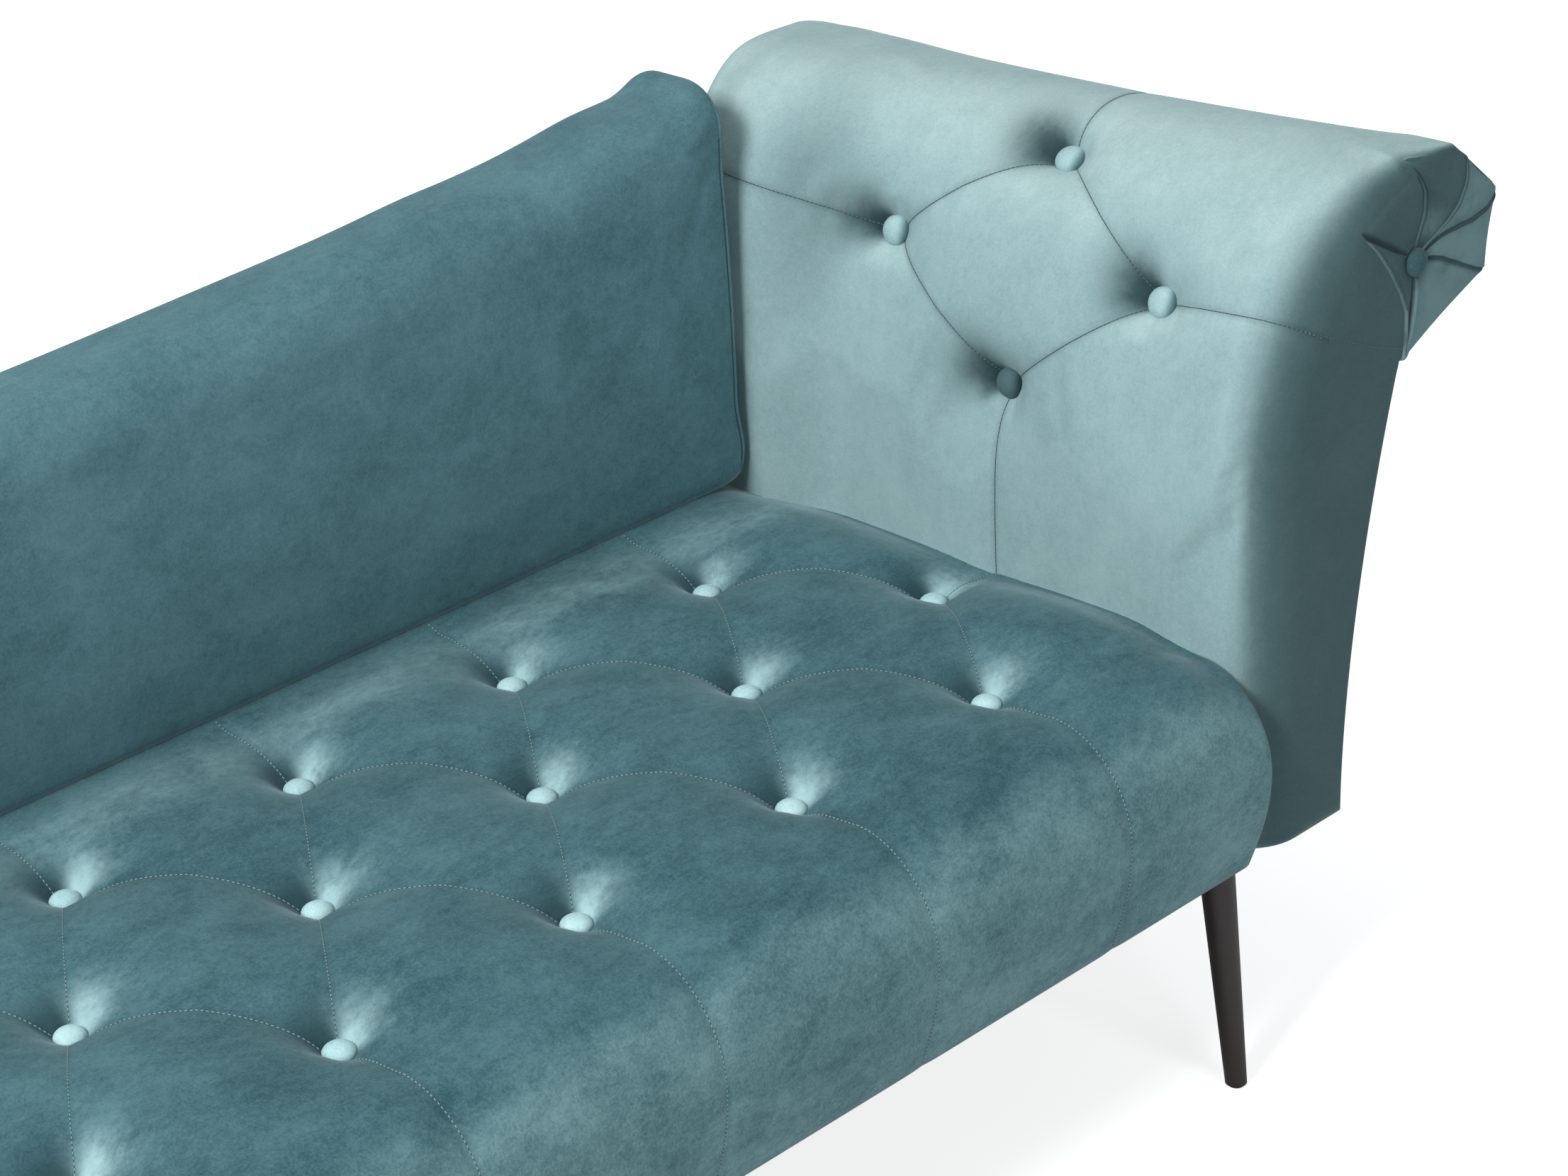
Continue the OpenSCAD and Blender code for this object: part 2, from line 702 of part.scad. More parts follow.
function shoulder_power(y) =
    shoulder_powers[0] + (shoulder_powers[1] - shoulder_powers[0]) * pow(arm_share(y), square_power);
function arm_path(y) =
    let (power = shoulder_power(y), x_r = roll_x(y), x_n = x_neck - neck_share * arm_draw(y))
    concat(
        [[x_arm_in, z_under], [x_arm_in, z_shoulder]],
        [
            for (i = [1 : shoulder_steps])
                let (a = 90 * i / shoulder_steps)
                let (up = pow(sin(a), 2 / shoulder_power(y_arm_mid)))
                let (across = i == shoulder_steps ? 0 : pow(1 - pow(up, power), 1 / power))
                [x_r - (x_r - x_arm_in) * across, z_shoulder + (arm_height - z_shoulder) * up]
        ],
        [
            for (i = [1 : roll_steps])
                let (a = 90 - (90 - roll_lip_angle) * i / roll_steps)
                [x_r + roll_half * cos(a), roll_z + roll_radius * sin(a)]
        ],
        [[x_n, z_neck]],
        [
            for (i = [1 : outer_steps])
                let (t = 1 - i / outer_steps)
                [x_arm_foot + (x_n - x_arm_foot) * pow(t, outer_power), z_under + (z_neck - z_under) * t]
        ]
    );
// The outline at one place along the arm, as tables of x and z by step k
function arm_section(y) =
    let (path = arm_path(y))
    [for (axis = [0, 1]) [for (k = [0 : k_end]) [k, path[k][axis]]]];
function arm_at(section, k) = [lookup(k, section[0]), lookup(k, section[1])];
function arm_inward(section, k) =
    k <= 0 ? [1, 0]
    : k >= k_end ? [-1, 0]
    : let (t = arm_at(section, k + probe) - arm_at(section, k - probe)) [t[1], -t[0]] / norm(t);
function arm_in(section, k, depth) = arm_at(section, k) + depth * arm_inward(section, k);
function arm_strip(section, ks, d0, d1) = concat(
    [for (k = ks) arm_in(section, k, d0)],
    reversed([for (k = ks) arm_in(section, k, d1)])
);
function steps(a, b, n) = [for (i = [0 : n]) a + (b - a) * i / n];

// Lengths along the outline halfway along the arm, and the steps that they reach
mid_path = arm_path(y_arm_mid);
mid_step = [for (k = [1 : k_end]) norm(mid_path[k] - mid_path[k - 1])];
mid_run = [for (k = 0, s = 0; k <= k_end; s = s + (k < k_end ? mid_step[k] : 0), k = k + 1) s];
mid_table = [for (k = [0 : k_end]) [mid_run[k], k]];
function step_at(s) = lookup(s, mid_table);
s_top = mid_run[k_shoulder];
s_lip = mid_run[k_lip];
s_neck = mid_run[k_neck];
s_end = mid_run[k_end];

// Buttons and seams of the arm, as lengths up the face and places along the depth
arm_tuft_base = arm_tuft_base_share * arm_rise;
arm_tuft_rise = arm_tuft_rise_share * arm_rise;
s_tuft_mid = arm_tuft_base + arm_tuft_rise;
s_tuft_top = arm_tuft_base + 2 * arm_tuft_rise;
arm_tufts = [
    [arm_tuft_base, y_arm_mid],
    [s_tuft_mid, y_arm_mid - arm_tuft_half],
    [s_tuft_mid, y_arm_mid + arm_tuft_half],
    [s_tuft_top, y_arm_mid]
];
arm_seams = concat(
    [for (low = [arm_tufts[0], arm_tufts[3]], side = [arm_tufts[1], arm_tufts[2]]) [low, side]],
    [
        [arm_tufts[0], [0, y_arm_mid]],
        [arm_tufts[3], [s_lip, y_arm_mid]],
        [arm_tufts[1], [s_tuft_mid, y_front]],
        [arm_tufts[2], [s_tuft_mid, y_arm_rear]]
    ]
);
arm_low_shares = [0, 0.35, 0.7];
arm_cell_edge = cell_shares[1] * arm_tuft_rise;
arm_s_lines = concat(
    [for (s = arm_low_shares) s * arm_tuft_base],
    [arm_tuft_base - arm_cell_edge],
    [for (r = [0 : 1], s = cell_shares) arm_tuft_base + (r + s) * arm_tuft_rise],
    [s_tuft_top],
    steps(s_tuft_top + arm_cell_edge, s_lip, 8),
    [(s_lip + s_neck) / 2],
    [for (k = [k_neck : k_end]) mid_run[k]]
);
arm_round_steps = 4;
arm_rounding = [
    for (i = [0 : arm_round_steps]) arm_edge_round * (1 - cos(90 * i / arm_round_steps))
];
arm_front_shares = [0.4, 0.78];
arm_rear_shares = [0.13, 0.36, 0.68];
y_tuft_near = y_arm_mid - arm_tuft_half;
y_tuft_far = y_arm_mid + arm_tuft_half;
y_round_near = y_front + arm_edge_round;
y_round_far = y_arm_rear - arm_edge_round;
arm_y_lines = concat(
    [for (d = arm_rounding) y_front + d],
    [for (s = arm_front_shares) y_round_near + s * (y_tuft_near - y_round_near)],
    [for (r = [0 : 1], s = cell_shares) y_tuft_near + (r + s) * arm_tuft_half],
    [y_tuft_far],
    [for (s = arm_rear_shares) y_tuft_far + s * (y_round_far - y_tuft_far)],
    [for (d = reversed(arm_rounding)) y_arm_rear - d]
);
function quarter(r, d) = d >= r ? 0 : r - sqrt(r * r - (r - d) * (r - d));
function arm_round(s) = lookup(s, [
    [s_top, arm_edge_round],
    [s_lip, arm_lip_round],
    [s_neck, arm_outer_round]
]);
function arm_dips(p) =
    p[0] > s_lip - arm_lip_w ? 0
    : max(seam_dip(p, arm_seams, seam_depth), pit_dip(p, arm_tufts, arm_tuft_depth));
function arm_point(section, s, y) =
    let (d = quarter(arm_round(s), min(y - y_front, y_arm_rear - y)) + arm_dips([s, y]))
    let (q = arm_in(section, step_at(s), d))
    [q[0], y, q[1]];

// The arm's padded body: the outline carried from the front to the rear, with soft ends
module tufted_arm_body() {
    ns = len(arm_s_lines);
    ny = len(arm_y_lines);
    sections = [for (y = arm_y_lines) arm_section(y)];
    points = [for (s = arm_s_lines, j = [0 : ny - 1]) arm_point(sections[j], s, arm_y_lines[j])];
    function id(i, j) = i * ny + j;
    first_s = len(arm_low_shares) + 1;
    first_y = len(arm_rounding) + len(arm_front_shares);
    n_cell = len(cell_shares);
    function falling(i, j) =
        is_even(floor((i - first_s) / n_cell) + floor((j - first_y) / n_cell));
    skin = [
        for (i = [0 : ns - 2], j = [0 : ny - 2])
            let (a = id(i, j), b = id(i, j + 1), c = id(i + 1, j + 1), d = id(i + 1, j))
            each (falling(i, j) ? [[a, b, d], [b, c, d]] : [[a, b, c], [a, c, d]])
    ];
    front_end = [for (i = [0 : ns - 1]) id(i, 0)];
    rear_end = [for (i = [ns - 1 : -1 : 0]) id(i, ny - 1)];
    under = concat([for (j = [ny - 1 : -1 : 0]) id(0, j)], [for (j = [0 : ny - 1]) id(ns - 1, j)]);
    caps = [for (ring = [front_end, rear_end, under]) each cap(points, ring, 0, len(ring) - 1)];
    polyhedron(points = points, faces = concat(skin, caps), convexity = 6);
}
// Layers inside the arm, each at a depth under the surface
y_arm_in0 = y_front + arm_end_wall;
y_arm_in1 = y_arm_rear - arm_end_wall;
x_arm_rail = x_arm_in + arm_skin + gap;
x_arm_rail_out = x_arm_rail + rail_t;
z_arm_rail_top = z_frame + arm_rail_h;
d_arm_foam = arm_skin + gap;
d_arm_liner = d_arm_foam + arm_foam_t + gap;
d_arm_rib = d_arm_liner + liner_t + gap;
d_arm_panel = panel_t + 2 * gap;
k_inside = steps(1, k_lip, k_lip - 1);
k_lining = concat([step_at(z_arm_rail_top + gap - z_under)], k_inside);
k_panel_lip = step_at(s_lip + arm_lip_w);
k_upper_outside = steps(k_neck, k_end - 1, outer_steps - 1);
k_outside = concat(k_upper_outside, [k_end]);
y_ribs = [y_arm_in0 + gap, (y_arm_in0 + y_arm_in1 - rib_t) / 2, y_arm_in1 - gap - rib_t];
y_between = [for (i = [0, 1]) (y_ribs[i] + y_ribs[i + 1] + rib_t) / 2];
y_stations = [
    y_ribs[0], y_ribs[0] + rib_t, y_between[0], y_ribs[1], y_ribs[1] + rib_t, y_between[1],
    y_ribs[2], y_ribs[2] + rib_t
];
y_cavity_stations =
    concat([y_arm_in0], [for (i = [1 : len(y_stations) - 2]) y_stations[i]], [y_arm_in1]);

// Solid through rings of points in x and z, one ring at each place along y
module along_stations(ys, rings) {
    n = len(rings[0]);
    last = len(ys) - 1;
    points = [for (j = [0 : last], q = rings[j]) [q[0], ys[j], q[1]]];
    function id(j, i) = j * n + i % n;
    skin = [
        for (j = [0 : last - 1], i = [0 : n - 1])
            let (a = id(j, i), b = id(j + 1, i), c = id(j + 1, i + 1), d = id(j, i + 1))
            each [[a, b, c], [a, c, d]]
    ];
    near_end = [for (i = [0 : n - 1]) id(0, i)];
    far_end = [for (i = [n - 1 : -1 : 0]) id(last, i)];
    caps = [for (ring = [near_end, far_end]) each cap(points, ring, 0, n - 1)];
    polyhedron(points = points, faces = concat(skin, caps), convexity = 8);
}
module arm_layer(ks, d0, d1) {
    along_stations(y_stations, [for (y = y_stations) arm_strip(arm_section(y), ks, d0, d1)]);
}
// Space inside the arm cover, open on the outside and underneath
module arm_cavity() {
    along_stations(y_cavity_stations, [
        for (y = y_cavity_stations)
            let (section = arm_section(y))
            concat(
                [[x_arm_in + arm_skin, z_under - over]],
                [for (k = [0 : k_lip]) arm_in(section, k, arm_skin)],
                [for (k = concat([k_panel_lip], k_outside)) arm_in(section, k, -over)],
                [[x_arm_foot + over, z_under - over]]
            )
    ]);
}
module arm_cover() {
    color("cadetblue") difference() {
        tufted_arm_body();
        arm_cavity();
        arm_bolt_holes();
    }
}
module arm_outer_panel() {
    ks = concat([step_at(s_lip + arm_lip_w + gap)], k_upper_outside, [step_at(s_end - gap)]);
    color("teal") arm_layer(ks, gap, gap + panel_t);
}
module arm_dust_cover() {
    color("dimgray") block([x_arm_rail, y_arm_in0 + gap, z_under],
        [x_arm_foot - d_arm_panel, y_arm_in1 - gap, z_under + dust_t]);
}
module arm_foam() { color("lightyellow") arm_layer(k_lining, d_arm_foam, d_arm_foam + arm_foam_t); }
module arm_liner() { color("saddlebrown") arm_layer(k_lining, d_arm_liner, d_arm_liner + liner_t); }
// Battens run the depth of the arm: x, z, width and height of each
x_roll_batten = x_end - roll_half - arm_taper - batten_d / 2;
x_neck_batten = x_neck - neck_share * arm_taper - batten_w - batten_d;
arm_batten_places = [
    [x_neck_batten, z_neck - batten_w, batten_w, batten_d],
    [x_roll_batten, roll_z - batten_d / 2, batten_w, batten_d],
    [x_arm_in + d_arm_rib + batten_d / 2, z_shoulder, batten_d, batten_w],
    [x_arm_foot - d_arm_panel - batten_d - over, z_frame + batten_d, batten_d, batten_w]
];
module arm_batten_set(grow) {
    for (b = arm_batten_places) {
        block([b[0] - grow, y_arm_in0 + gap - grow, b[1] - grow],
            [b[0] + b[2] + grow, y_arm_in1 - gap + grow, b[1] + b[3] + grow]);
    }
}
module arm_battens() { color("burlywood") arm_batten_set(0); }
module arm_rail_block(grow) {
    block([x_arm_rail - grow, y_arm_in0 + gap - grow, z_frame - grow],
        [x_arm_rail_out + grow, y_arm_in1 - gap + grow, z_arm_rail_top + grow]);
}
module arm_lower_rail() {
    color("burlywood") difference() {
        arm_rail_block(0);
        arm_bolt_holes();
    }
}
function rib_outline(y) =
    let (section = arm_section(y))
    concat(
        [for (k = concat([step_at(dust_t + gap)], k_inside)) arm_in(section, k, d_arm_rib)],
        [
            for (k = concat([step_at(s_lip + arm_lip_w + d_arm_panel)], k_upper_outside))
                arm_in(section, k, d_arm_panel)
        ],
        [arm_in(section, step_at(s_end - dust_t - gap), d_arm_panel)]
    );
module arm_rib(y0) {
    color("burlywood") difference() {
        intersection_for(y = [y0, y0 + rib_t]) along_y(y0, y0 + rib_t) polygon(rib_outline(y));
        arm_batten_set(gap);
        arm_rail_block(gap);
    }
}
module arm_rib_front() { arm_rib(y_ribs[0]); }
module arm_rib_middle() { arm_rib(y_ribs[1]); }
module arm_rib_rear() { arm_rib(y_ribs[2]); }

module arm_buttons() {
    color("cadetblue") for (t = arm_tufts) {
        section = arm_section(t[1]);
        k = step_at(t[0]);
        q = arm_in(section, k, arm_tuft_depth * (1 - button_seat_share));
        n = arm_inward(section, k);
        translate([q[0], t[1], q[1]]) rotate([0, atan2(-n[0], -n[1]), 0])
            covered_button(shank_share * arm_tuft_depth);
    }
}
// Pleated fan over an end of the roll: folds run from the rim to a button near its middle
scroll_z = roll_z + scroll_button_up;
function scroll_x(y) = roll_x(y) - scroll_button_in;
module scroll_fan(y_end, facing) {
    section = arm_section(y_end);
    s_start = s_tuft_mid + arm_tuft_rise / 2;
    low_share = 0.25;
    rim_s = [
        for (i = [0 : pleats - 1], part = [0, fold_share])
            s_start + (s_neck - s_start) * (i + part) / pleats
    ];
    n = len(rim_s);
    rim = [for (s = rim_s) arm_in(section, step_at(s), arm_round(s) + fan_margin)];
    points = concat(
        [for (q = rim) [q[0], y_end, q[1]]],
        [
            for (i = [0 : n - 1])
                [rim[i][0], y_end + facing * pleat_h * (is_even(i) ? low_share : 1), rim[i][1]]
        ],
        [[scroll_x(y_end), y_end, scroll_z], [scroll_x(y_end), y_end + facing * fan_hub, scroll_z]]
    );
    hub = 2 * n;
    faces = concat(
        [for (i = [0 : n - 2]) [hub, i + 1, i]],
        [for (i = [0 : n - 2]) [hub + 1, n + i, n + i + 1]],
        [for (i = [0 : n - 2]) each [[i, i + 1, n + i + 1], [i, n + i + 1, n + i]]],
        [[hub, 0, n], [hub, n, hub + 1], [n - 1, hub, hub + 1], [n - 1, hub + 1, 2 * n - 1]]
    );
    turned = facing < 0 ? faces : [for (f = faces) reversed(f)];
    polyhedron(points = points, faces = turned, convexity = 8);
}
module scroll_fan_front() { color("cadetblue") scroll_fan(y_front, -1); }
module scroll_fan_rear() { color("cadetblue") scroll_fan(y_arm_rear, 1); }
module scroll_buttons() {
    color("teal") for (end = [[y_front, -1], [y_arm_rear, 1]]) {
        translate([scroll_x(end[0]), end[0] + end[1] * scroll_button_stand, scroll_z])
            rotate([-90 * end[1], 0, 0]) covered_button(scroll_button_stand - fan_hub);
    }
}
// Bolts through the head rail, the two covers and the arm's lower rail
arm_bolt_shares = [0.18, 0.4, 0.62, 0.84];
z_arm_bolt = z_frame + arm_rail_h / 2;
function arm_bolt_y(share) = y_front_rail + share * (y_rear_rail - y_front_rail);
module along_x(x0, x1, d) {
    translate([x0, 0, 0]) rotate([0, 90, 0]) cylinder(h = x1 - x0, d = d);
}
module arm_bolt_holes() {
    for (s = arm_bolt_shares) {
        translate([0, arm_bolt_y(s), z_arm_bolt])
            along_x(x_head_rail - over, x_arm_rail_out + over, bolt_d + 2 * hole_gap);
    }
}
module arm_bolts() {
    color("silver") for (s = arm_bolt_shares) {
        translate([0, arm_bolt_y(s), z_arm_bolt]) {
            along_x(x_head_rail, x_arm_rail_out + nut_h + over, bolt_d);
            along_x(x_head_rail - head_h, x_head_rail, head_wide);
        }
    }
}
module arm_bolt_nuts() {
    color("silver") for (s = arm_bolt_shares) {
        translate([x_arm_rail_out, arm_bolt_y(s), z_arm_bolt]) rotate([0, 90, 0]) difference() {
            cylinder(h = nut_h, d = head_wide, $fn = 6);
            translate([0, 0, -over]) cylinder(h = nut_h + 2 * over, d = bolt_d + 2 * hole_gap);
        }
    }
}

// Back: sections across it, from the end beside the arm to the tail
function back_outline_top(x) =
    back_top(x) - quarter(back_corner_round, x_back_right - x) - quarter(back_tail_round, x - x_back_left);
z_back_low = z_bed + gap;
back_round_steps = 4;
back_mid_steps = 26;
end_share = 0.62;
x_corner = x_back_right - back_corner_round;
x_tail = x_back_left + back_tail_round;
back_x_lines = concat(
    [for (i = [0 : back_round_steps]) x_back_right - back_end_round * (1 - cos(90 * i / back_round_steps))],
    [x_back_right - end_share * back_corner_round],
    steps(x_corner, x_tail, back_mid_steps),
    [for (i = [1 : back_round_steps]) x_back_left + back_tail_round * (1 - sin(90 * i / back_round_steps))]
);
face_shares = [0, 0.15, 0.4, 0.7, 1];
edge_steps = 4;
squat_share = 0.75;
function back_section(x) =
    let (d = min(x_back_right - x, x - x_back_left))
    let (front_in = quarter(back_end_round, d), y_f = y_back_face + front_in)
    let (y_r = y_rear - quarter(back_rear_round / 3, d), z_t = back_outline_top(x))
    let (tall = z_t - z_back_low, r1 = min(back_top_round, tall * squat_share))
    let (r2 = min(back_rear_round, tall * squat_share))
    let (crown = back_crown * (1 - front_in / back_end_round))
    concat(
        [for (s = face_shares) [y_f - crown * sin(180 * s), z_back_low + s * (tall - r1)]],
        [
            for (i = [1 : edge_steps])
                let (a = 90 * i / edge_steps)
                [y_f + r1 * (1 - cos(a)), z_t - r1 * (1 - sin(a))]
        ],
        [
            for (i = [0 : edge_steps - 1])
                let (a = 90 * i / (edge_steps - 1))
                [y_r - r2 * (1 - sin(a)), z_t - r2 * (1 - cos(a))]
        ],
        [[y_r, z_back_low]]
    );
module back_body() {
    sections = [for (x = back_x_lines) back_section(x)];
    nx = len(back_x_lines);
    np = len(sections[0]);
    points = [for (i = [0 : nx - 1], q = sections[i]) [back_x_lines[i], q[0], q[1]]];
    function id(i, j) = i * np + j % np;
    skin = [
        for (i = [0 : nx - 2], j = [0 : np - 1])
            let (a = id(i, j), b = id(i + 1, j), c = id(i + 1, j + 1), d = id(i, j + 1))
            each [[a, b, c], [a, c, d]]
    ];
    arm_end = [for (j = [0 : np - 1]) id(0, j)];
    tail_end = [for (j = [np - 1 : -1 : 0]) id(nx - 1, j)];
    caps = [for (ring = [arm_end, tail_end]) each cap(points, ring, 0, np - 1)];
    polyhedron(points = points, faces = concat(skin, caps), convexity = 6);
}
x_back_in0 = x_back_left + back_end_wall;
x_back_in1 = x_back_right - back_end_wall;
function back_hollow_top(x) = back_outline_top(x) - back_top_skin;
// Outline of the space inside the back cover, drawn in x and z
module back_hollow(inset, z_low) {
    xs = steps(x_back_in0 + inset, x_back_in1 - inset, 40);
    polygon(concat(
        [for (x = xs) [x, back_hollow_top(x) - inset]],
        [[x_back_in1 - inset, z_low], [x_back_in0 + inset, z_low]]
    ));
}
module back_cover() {
    color("darkslategray") difference() {
        back_body();
        along_y(y_back_face + back_skin, y_rear + over) back_hollow(0, z_bed - over);
    }
}
module back_foam() {
    color("lightyellow") along_y(y_back_foam, y_back_foam + back_foam_t) back_hollow(gap, z_back_low);
}
module back_liner() {
    color("saddlebrown") along_y(y_back_liner, y_back_liner + liner_t) back_hollow(gap, z_back_low);
}
module back_rear_panel() {
    color("darkslategray") along_y(y_rear - panel_t - gap, y_rear - gap) back_hollow(gap, z_back_low);
}
module back_posts_grown() {
    for (x = x_posts) {
        block([x - gap, y_frame - over, z_bed - over], [x + post_w + gap, y_post_rear + gap, arm_height]);
    }
}
z_back_rail_top = z_back_low + back_bottom_h;
module back_bottom_rail() {
    color("burlywood") difference() {
        block([x_back_in0 + gap, y_frame, z_back_low],
            [x_back_in1 - gap, y_frame_rear, z_back_rail_top]);
        back_posts_grown();
    }
}
function back_rail_low(x) = max(back_hollow_top(x) - gap - back_top_depth, z_back_rail_top + gap);
module back_top_rail() {
    xs = steps(x_drop_end + batten_d, x_back_in1 - gap, 40);
    color("burlywood") along_y(y_frame, y_frame_rear) polygon(concat(
        [for (x = xs) [x, back_hollow_top(x) - gap]],
        [for (x = reversed(xs)) [x, back_rail_low(x)]]
    ));
}
// Bolts that hold the posts to the rear rail: x and z of each
back_bolt_shares = [0.3, 0.72];
back_bolt_places = [for (x = x_posts, s = back_bolt_shares) [x + post_w / 2, z_frame + s * rail_h]];
module back_bolt_holes() {
    for (b = back_bolt_places) {
        translate([b[0], y_deck_rear, b[1]]) rotate([90, 0, 0])
            cylinder(h = y_deck_rear - y_frame + over, d = bolt_d + 2 * hole_gap);
    }
}
module back_post(x) {
    top = min(back_rail_low(x), back_rail_low(x + post_w)) - gap;
    color("burlywood") difference() {
        block([x, y_frame, z_frame], [x + post_w, y_post_rear, top]);
        back_bolt_holes();
    }
}
module back_post_right() { back_post(x_post_right); }
module back_post_middle() { back_post(x_post_middle); }
module back_post_left() { back_post(x_post_left); }
y_back_nut = y_deck_rear - gap - nut_h;
module back_bolts() {
    color("silver") for (b = back_bolt_places) {
        translate([b[0], y_frame, b[1]]) {
            rotate([-90, 0, 0]) cylinder(h = y_back_nut + nut_h - y_frame, d = bolt_d);
            rotate([90, 0, 0]) cylinder(h = head_h, d = head_wide);
        }
    }
}
module back_bolt_nuts() {
    color("silver") for (b = back_bolt_places) {
        translate([b[0], y_back_nut, b[1]]) rotate([-90, 0, 0]) difference() {
            cylinder(h = nut_h, d = head_wide, $fn = 6);
            translate([0, 0, -over]) cylinder(h = nut_h + 2 * over, d = bolt_d + 2 * hole_gap);
        }
    }
}

front_rail();
rear_rail();
head_rail();
foot_rail();
centre_rails();
corner_blocks();
cross_webbing();
long_webbing();
hessian_sheet();
seat_foam();
seat_cover();
seat_buttons();
dust_cover();
leg_front_right();
leg_front_left();
leg_rear_right();
leg_rear_left();
leg_inserts();
leg_bolts();
leg_glides();
arm_rib_front();
arm_rib_middle();
arm_rib_rear();
arm_lower_rail();
arm_battens();
arm_liner();
arm_foam();
arm_cover();
arm_outer_panel();
arm_dust_cover();
scroll_fan_front();
scroll_fan_rear();
arm_buttons();
scroll_buttons();
arm_bolts();
arm_bolt_nuts();
back_post_right();
back_post_middle();
back_post_left();
back_top_rail();
back_bottom_rail();
back_liner();
back_foam();
back_cover();
back_rear_panel();
back_bolts();
back_bolt_nuts();
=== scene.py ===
"""Dresses the fainting couch: tufted velvet covers, pleated scroll ends, covered buttons,
stitched seams, and a finish for every rail, strap, board and leg. Shapes are worked out
in millimetres and become metres when a mesh is made."""

import json
import math
from contextlib import contextmanager

import bmesh
import bpy
import numpy as np
from mathutils import Matrix, Vector
from mathutils.bvhtree import BVHTree
from mathutils.geometry import delaunay_2d_cdt

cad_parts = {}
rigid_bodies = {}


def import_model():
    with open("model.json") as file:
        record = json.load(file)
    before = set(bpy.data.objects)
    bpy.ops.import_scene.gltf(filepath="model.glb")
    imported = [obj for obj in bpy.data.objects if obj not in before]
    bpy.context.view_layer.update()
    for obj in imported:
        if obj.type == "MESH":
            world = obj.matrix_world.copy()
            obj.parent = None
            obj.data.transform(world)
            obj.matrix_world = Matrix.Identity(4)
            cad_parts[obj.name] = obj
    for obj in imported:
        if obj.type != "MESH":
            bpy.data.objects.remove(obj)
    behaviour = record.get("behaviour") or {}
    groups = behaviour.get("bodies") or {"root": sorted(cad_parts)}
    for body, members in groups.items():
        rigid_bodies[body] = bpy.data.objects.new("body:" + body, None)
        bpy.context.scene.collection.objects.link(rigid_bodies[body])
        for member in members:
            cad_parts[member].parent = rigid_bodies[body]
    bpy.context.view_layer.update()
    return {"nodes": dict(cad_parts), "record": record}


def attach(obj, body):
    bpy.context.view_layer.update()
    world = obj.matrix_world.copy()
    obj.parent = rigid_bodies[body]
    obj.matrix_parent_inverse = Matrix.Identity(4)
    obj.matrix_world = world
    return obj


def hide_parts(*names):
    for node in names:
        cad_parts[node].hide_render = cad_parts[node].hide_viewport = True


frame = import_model()

MM = 0.001

# Sizes of the couch
X_END, Y_FRONT, Y_NOSE, Y_REAR, Y_BACK = 820.0, -337.5, -362.5, 362.5, 252.5
X_ARM, X_SEAT = 483.0, 482.7
Z_UNDER, Z_PLANE, SEAT_CROWN = 234.0, 434.0, 27.0
NOSE_ROUND, NOSE_OVER, NOSE_DROP, NOSE_FALL = 86.0, 25.0, 97.0, 15.0
X_CREST, Y_CREST = -X_END + NOSE_ROUND, Y_NOSE + NOSE_ROUND
PIT_DEPTH, PIT_REACH, SEAT_SEED = 38.0, 40.0, 3
# How far the seat's top falls beside the arm and the back, and how wide each edge bends down
ARM_FALL, BACK_FALL, EDGE_WIDE = 27.0, 6.0, 48.0
TUFT_X0, TUFT_HALF, TUFT_COLS = 405.0, 120.0, 9
ROW_C = 144.5
ROW = 0.2372 * 725.0
ROW_B, ROW_A = ROW_C - ROW, ROW_C - 2 * ROW
X_TUFT_LAST = TUFT_X0 - TUFT_COLS * TUFT_HALF
CELL = 24
# A paler strip between the rear buttons and the back, painted with the buttons' highlight colour
REAR_STRIP_Y, REAR_STRIP_WIDE = 190.0, 52.0


def bell(d, width, power=2.0):
    return np.exp(-((np.abs(d) / width) ** power))


def smooth(t):
    t = np.clip(t, 0.0, 1.0)
    return t * t * (3.0 - 2.0 * t)


def quarter(r, d):
    """How far a rounded edge of radius r lies inside its corner, d from the end."""
    d = np.clip(d, 0.0, r)
    return r - np.sqrt(np.maximum(r * r - (r - d) ** 2, 0.0))


def to_segment(x, y, a, b):
    """Distance of points from a segment."""
    ax, ay = b[0] - a[0], b[1] - a[1]
    t = np.clip(((x - a[0]) * ax + (y - a[1]) * ay) / math.hypot(ax, ay) ** 2, 0.0, 1.0)
    return np.hypot(x - a[0] - t * ax, y - a[1] - t * ay)


# Little folds stand round each button, and each seam is a groove in the middle of a dip
FOLDS_OUT, FOLDS_WIDE, FOLDS_HIGH = 25.0, 11.0, 0.5
BUTTON_FLAT, DIP_WIDE, GROOVE_WIDE = 9.0, 9.0, 3.2


def tufting(x, y, buttons, seams, depth, reach, seed):
    """Depth of the pits and grooves at points of a cover, and how deep in a seam they are."""
    near = np.full(np.shape(x), 1e9)
    folds = np.zeros(np.shape(x))
    rng = np.random.default_rng(seed)
    for bx, by in buttons:
        d = np.hypot(x - bx, y - by)
        phase = rng.uniform(0.0, 2.0 * math.pi, 3)
        turn = np.arctan2(y - by, x - bx)
        waves = np.sin(5 * turn + phase[0]) + 0.7 * np.sin(9 * turn + phase[1])
        folds += waves * bell(d - FOLDS_OUT, FOLDS_WIDE)
        near = np.minimum(near, d)
    drawn = np.zeros(np.shape(x))
    groove = np.zeros(np.shape(x))
    for a, b in seams:
        off = to_segment(x, y, a, b)
        drawn = np.maximum(drawn, bell(off, DIP_WIDE + 0.16 * near, 1.6))
        groove = np.maximum(groove, bell(off, GROOVE_WIDE))
    fall = np.exp(-np.maximum(near - BUTTON_FLAT, 0.0) / (reach * (0.70 + 0.30 * drawn)))
    return depth * fall + groove + FOLDS_HIGH * folds, groove


def add_object(name, data):
    made = bpy.data.objects.new(name, data)
    bpy.context.scene.collection.objects.link(made)
    return made


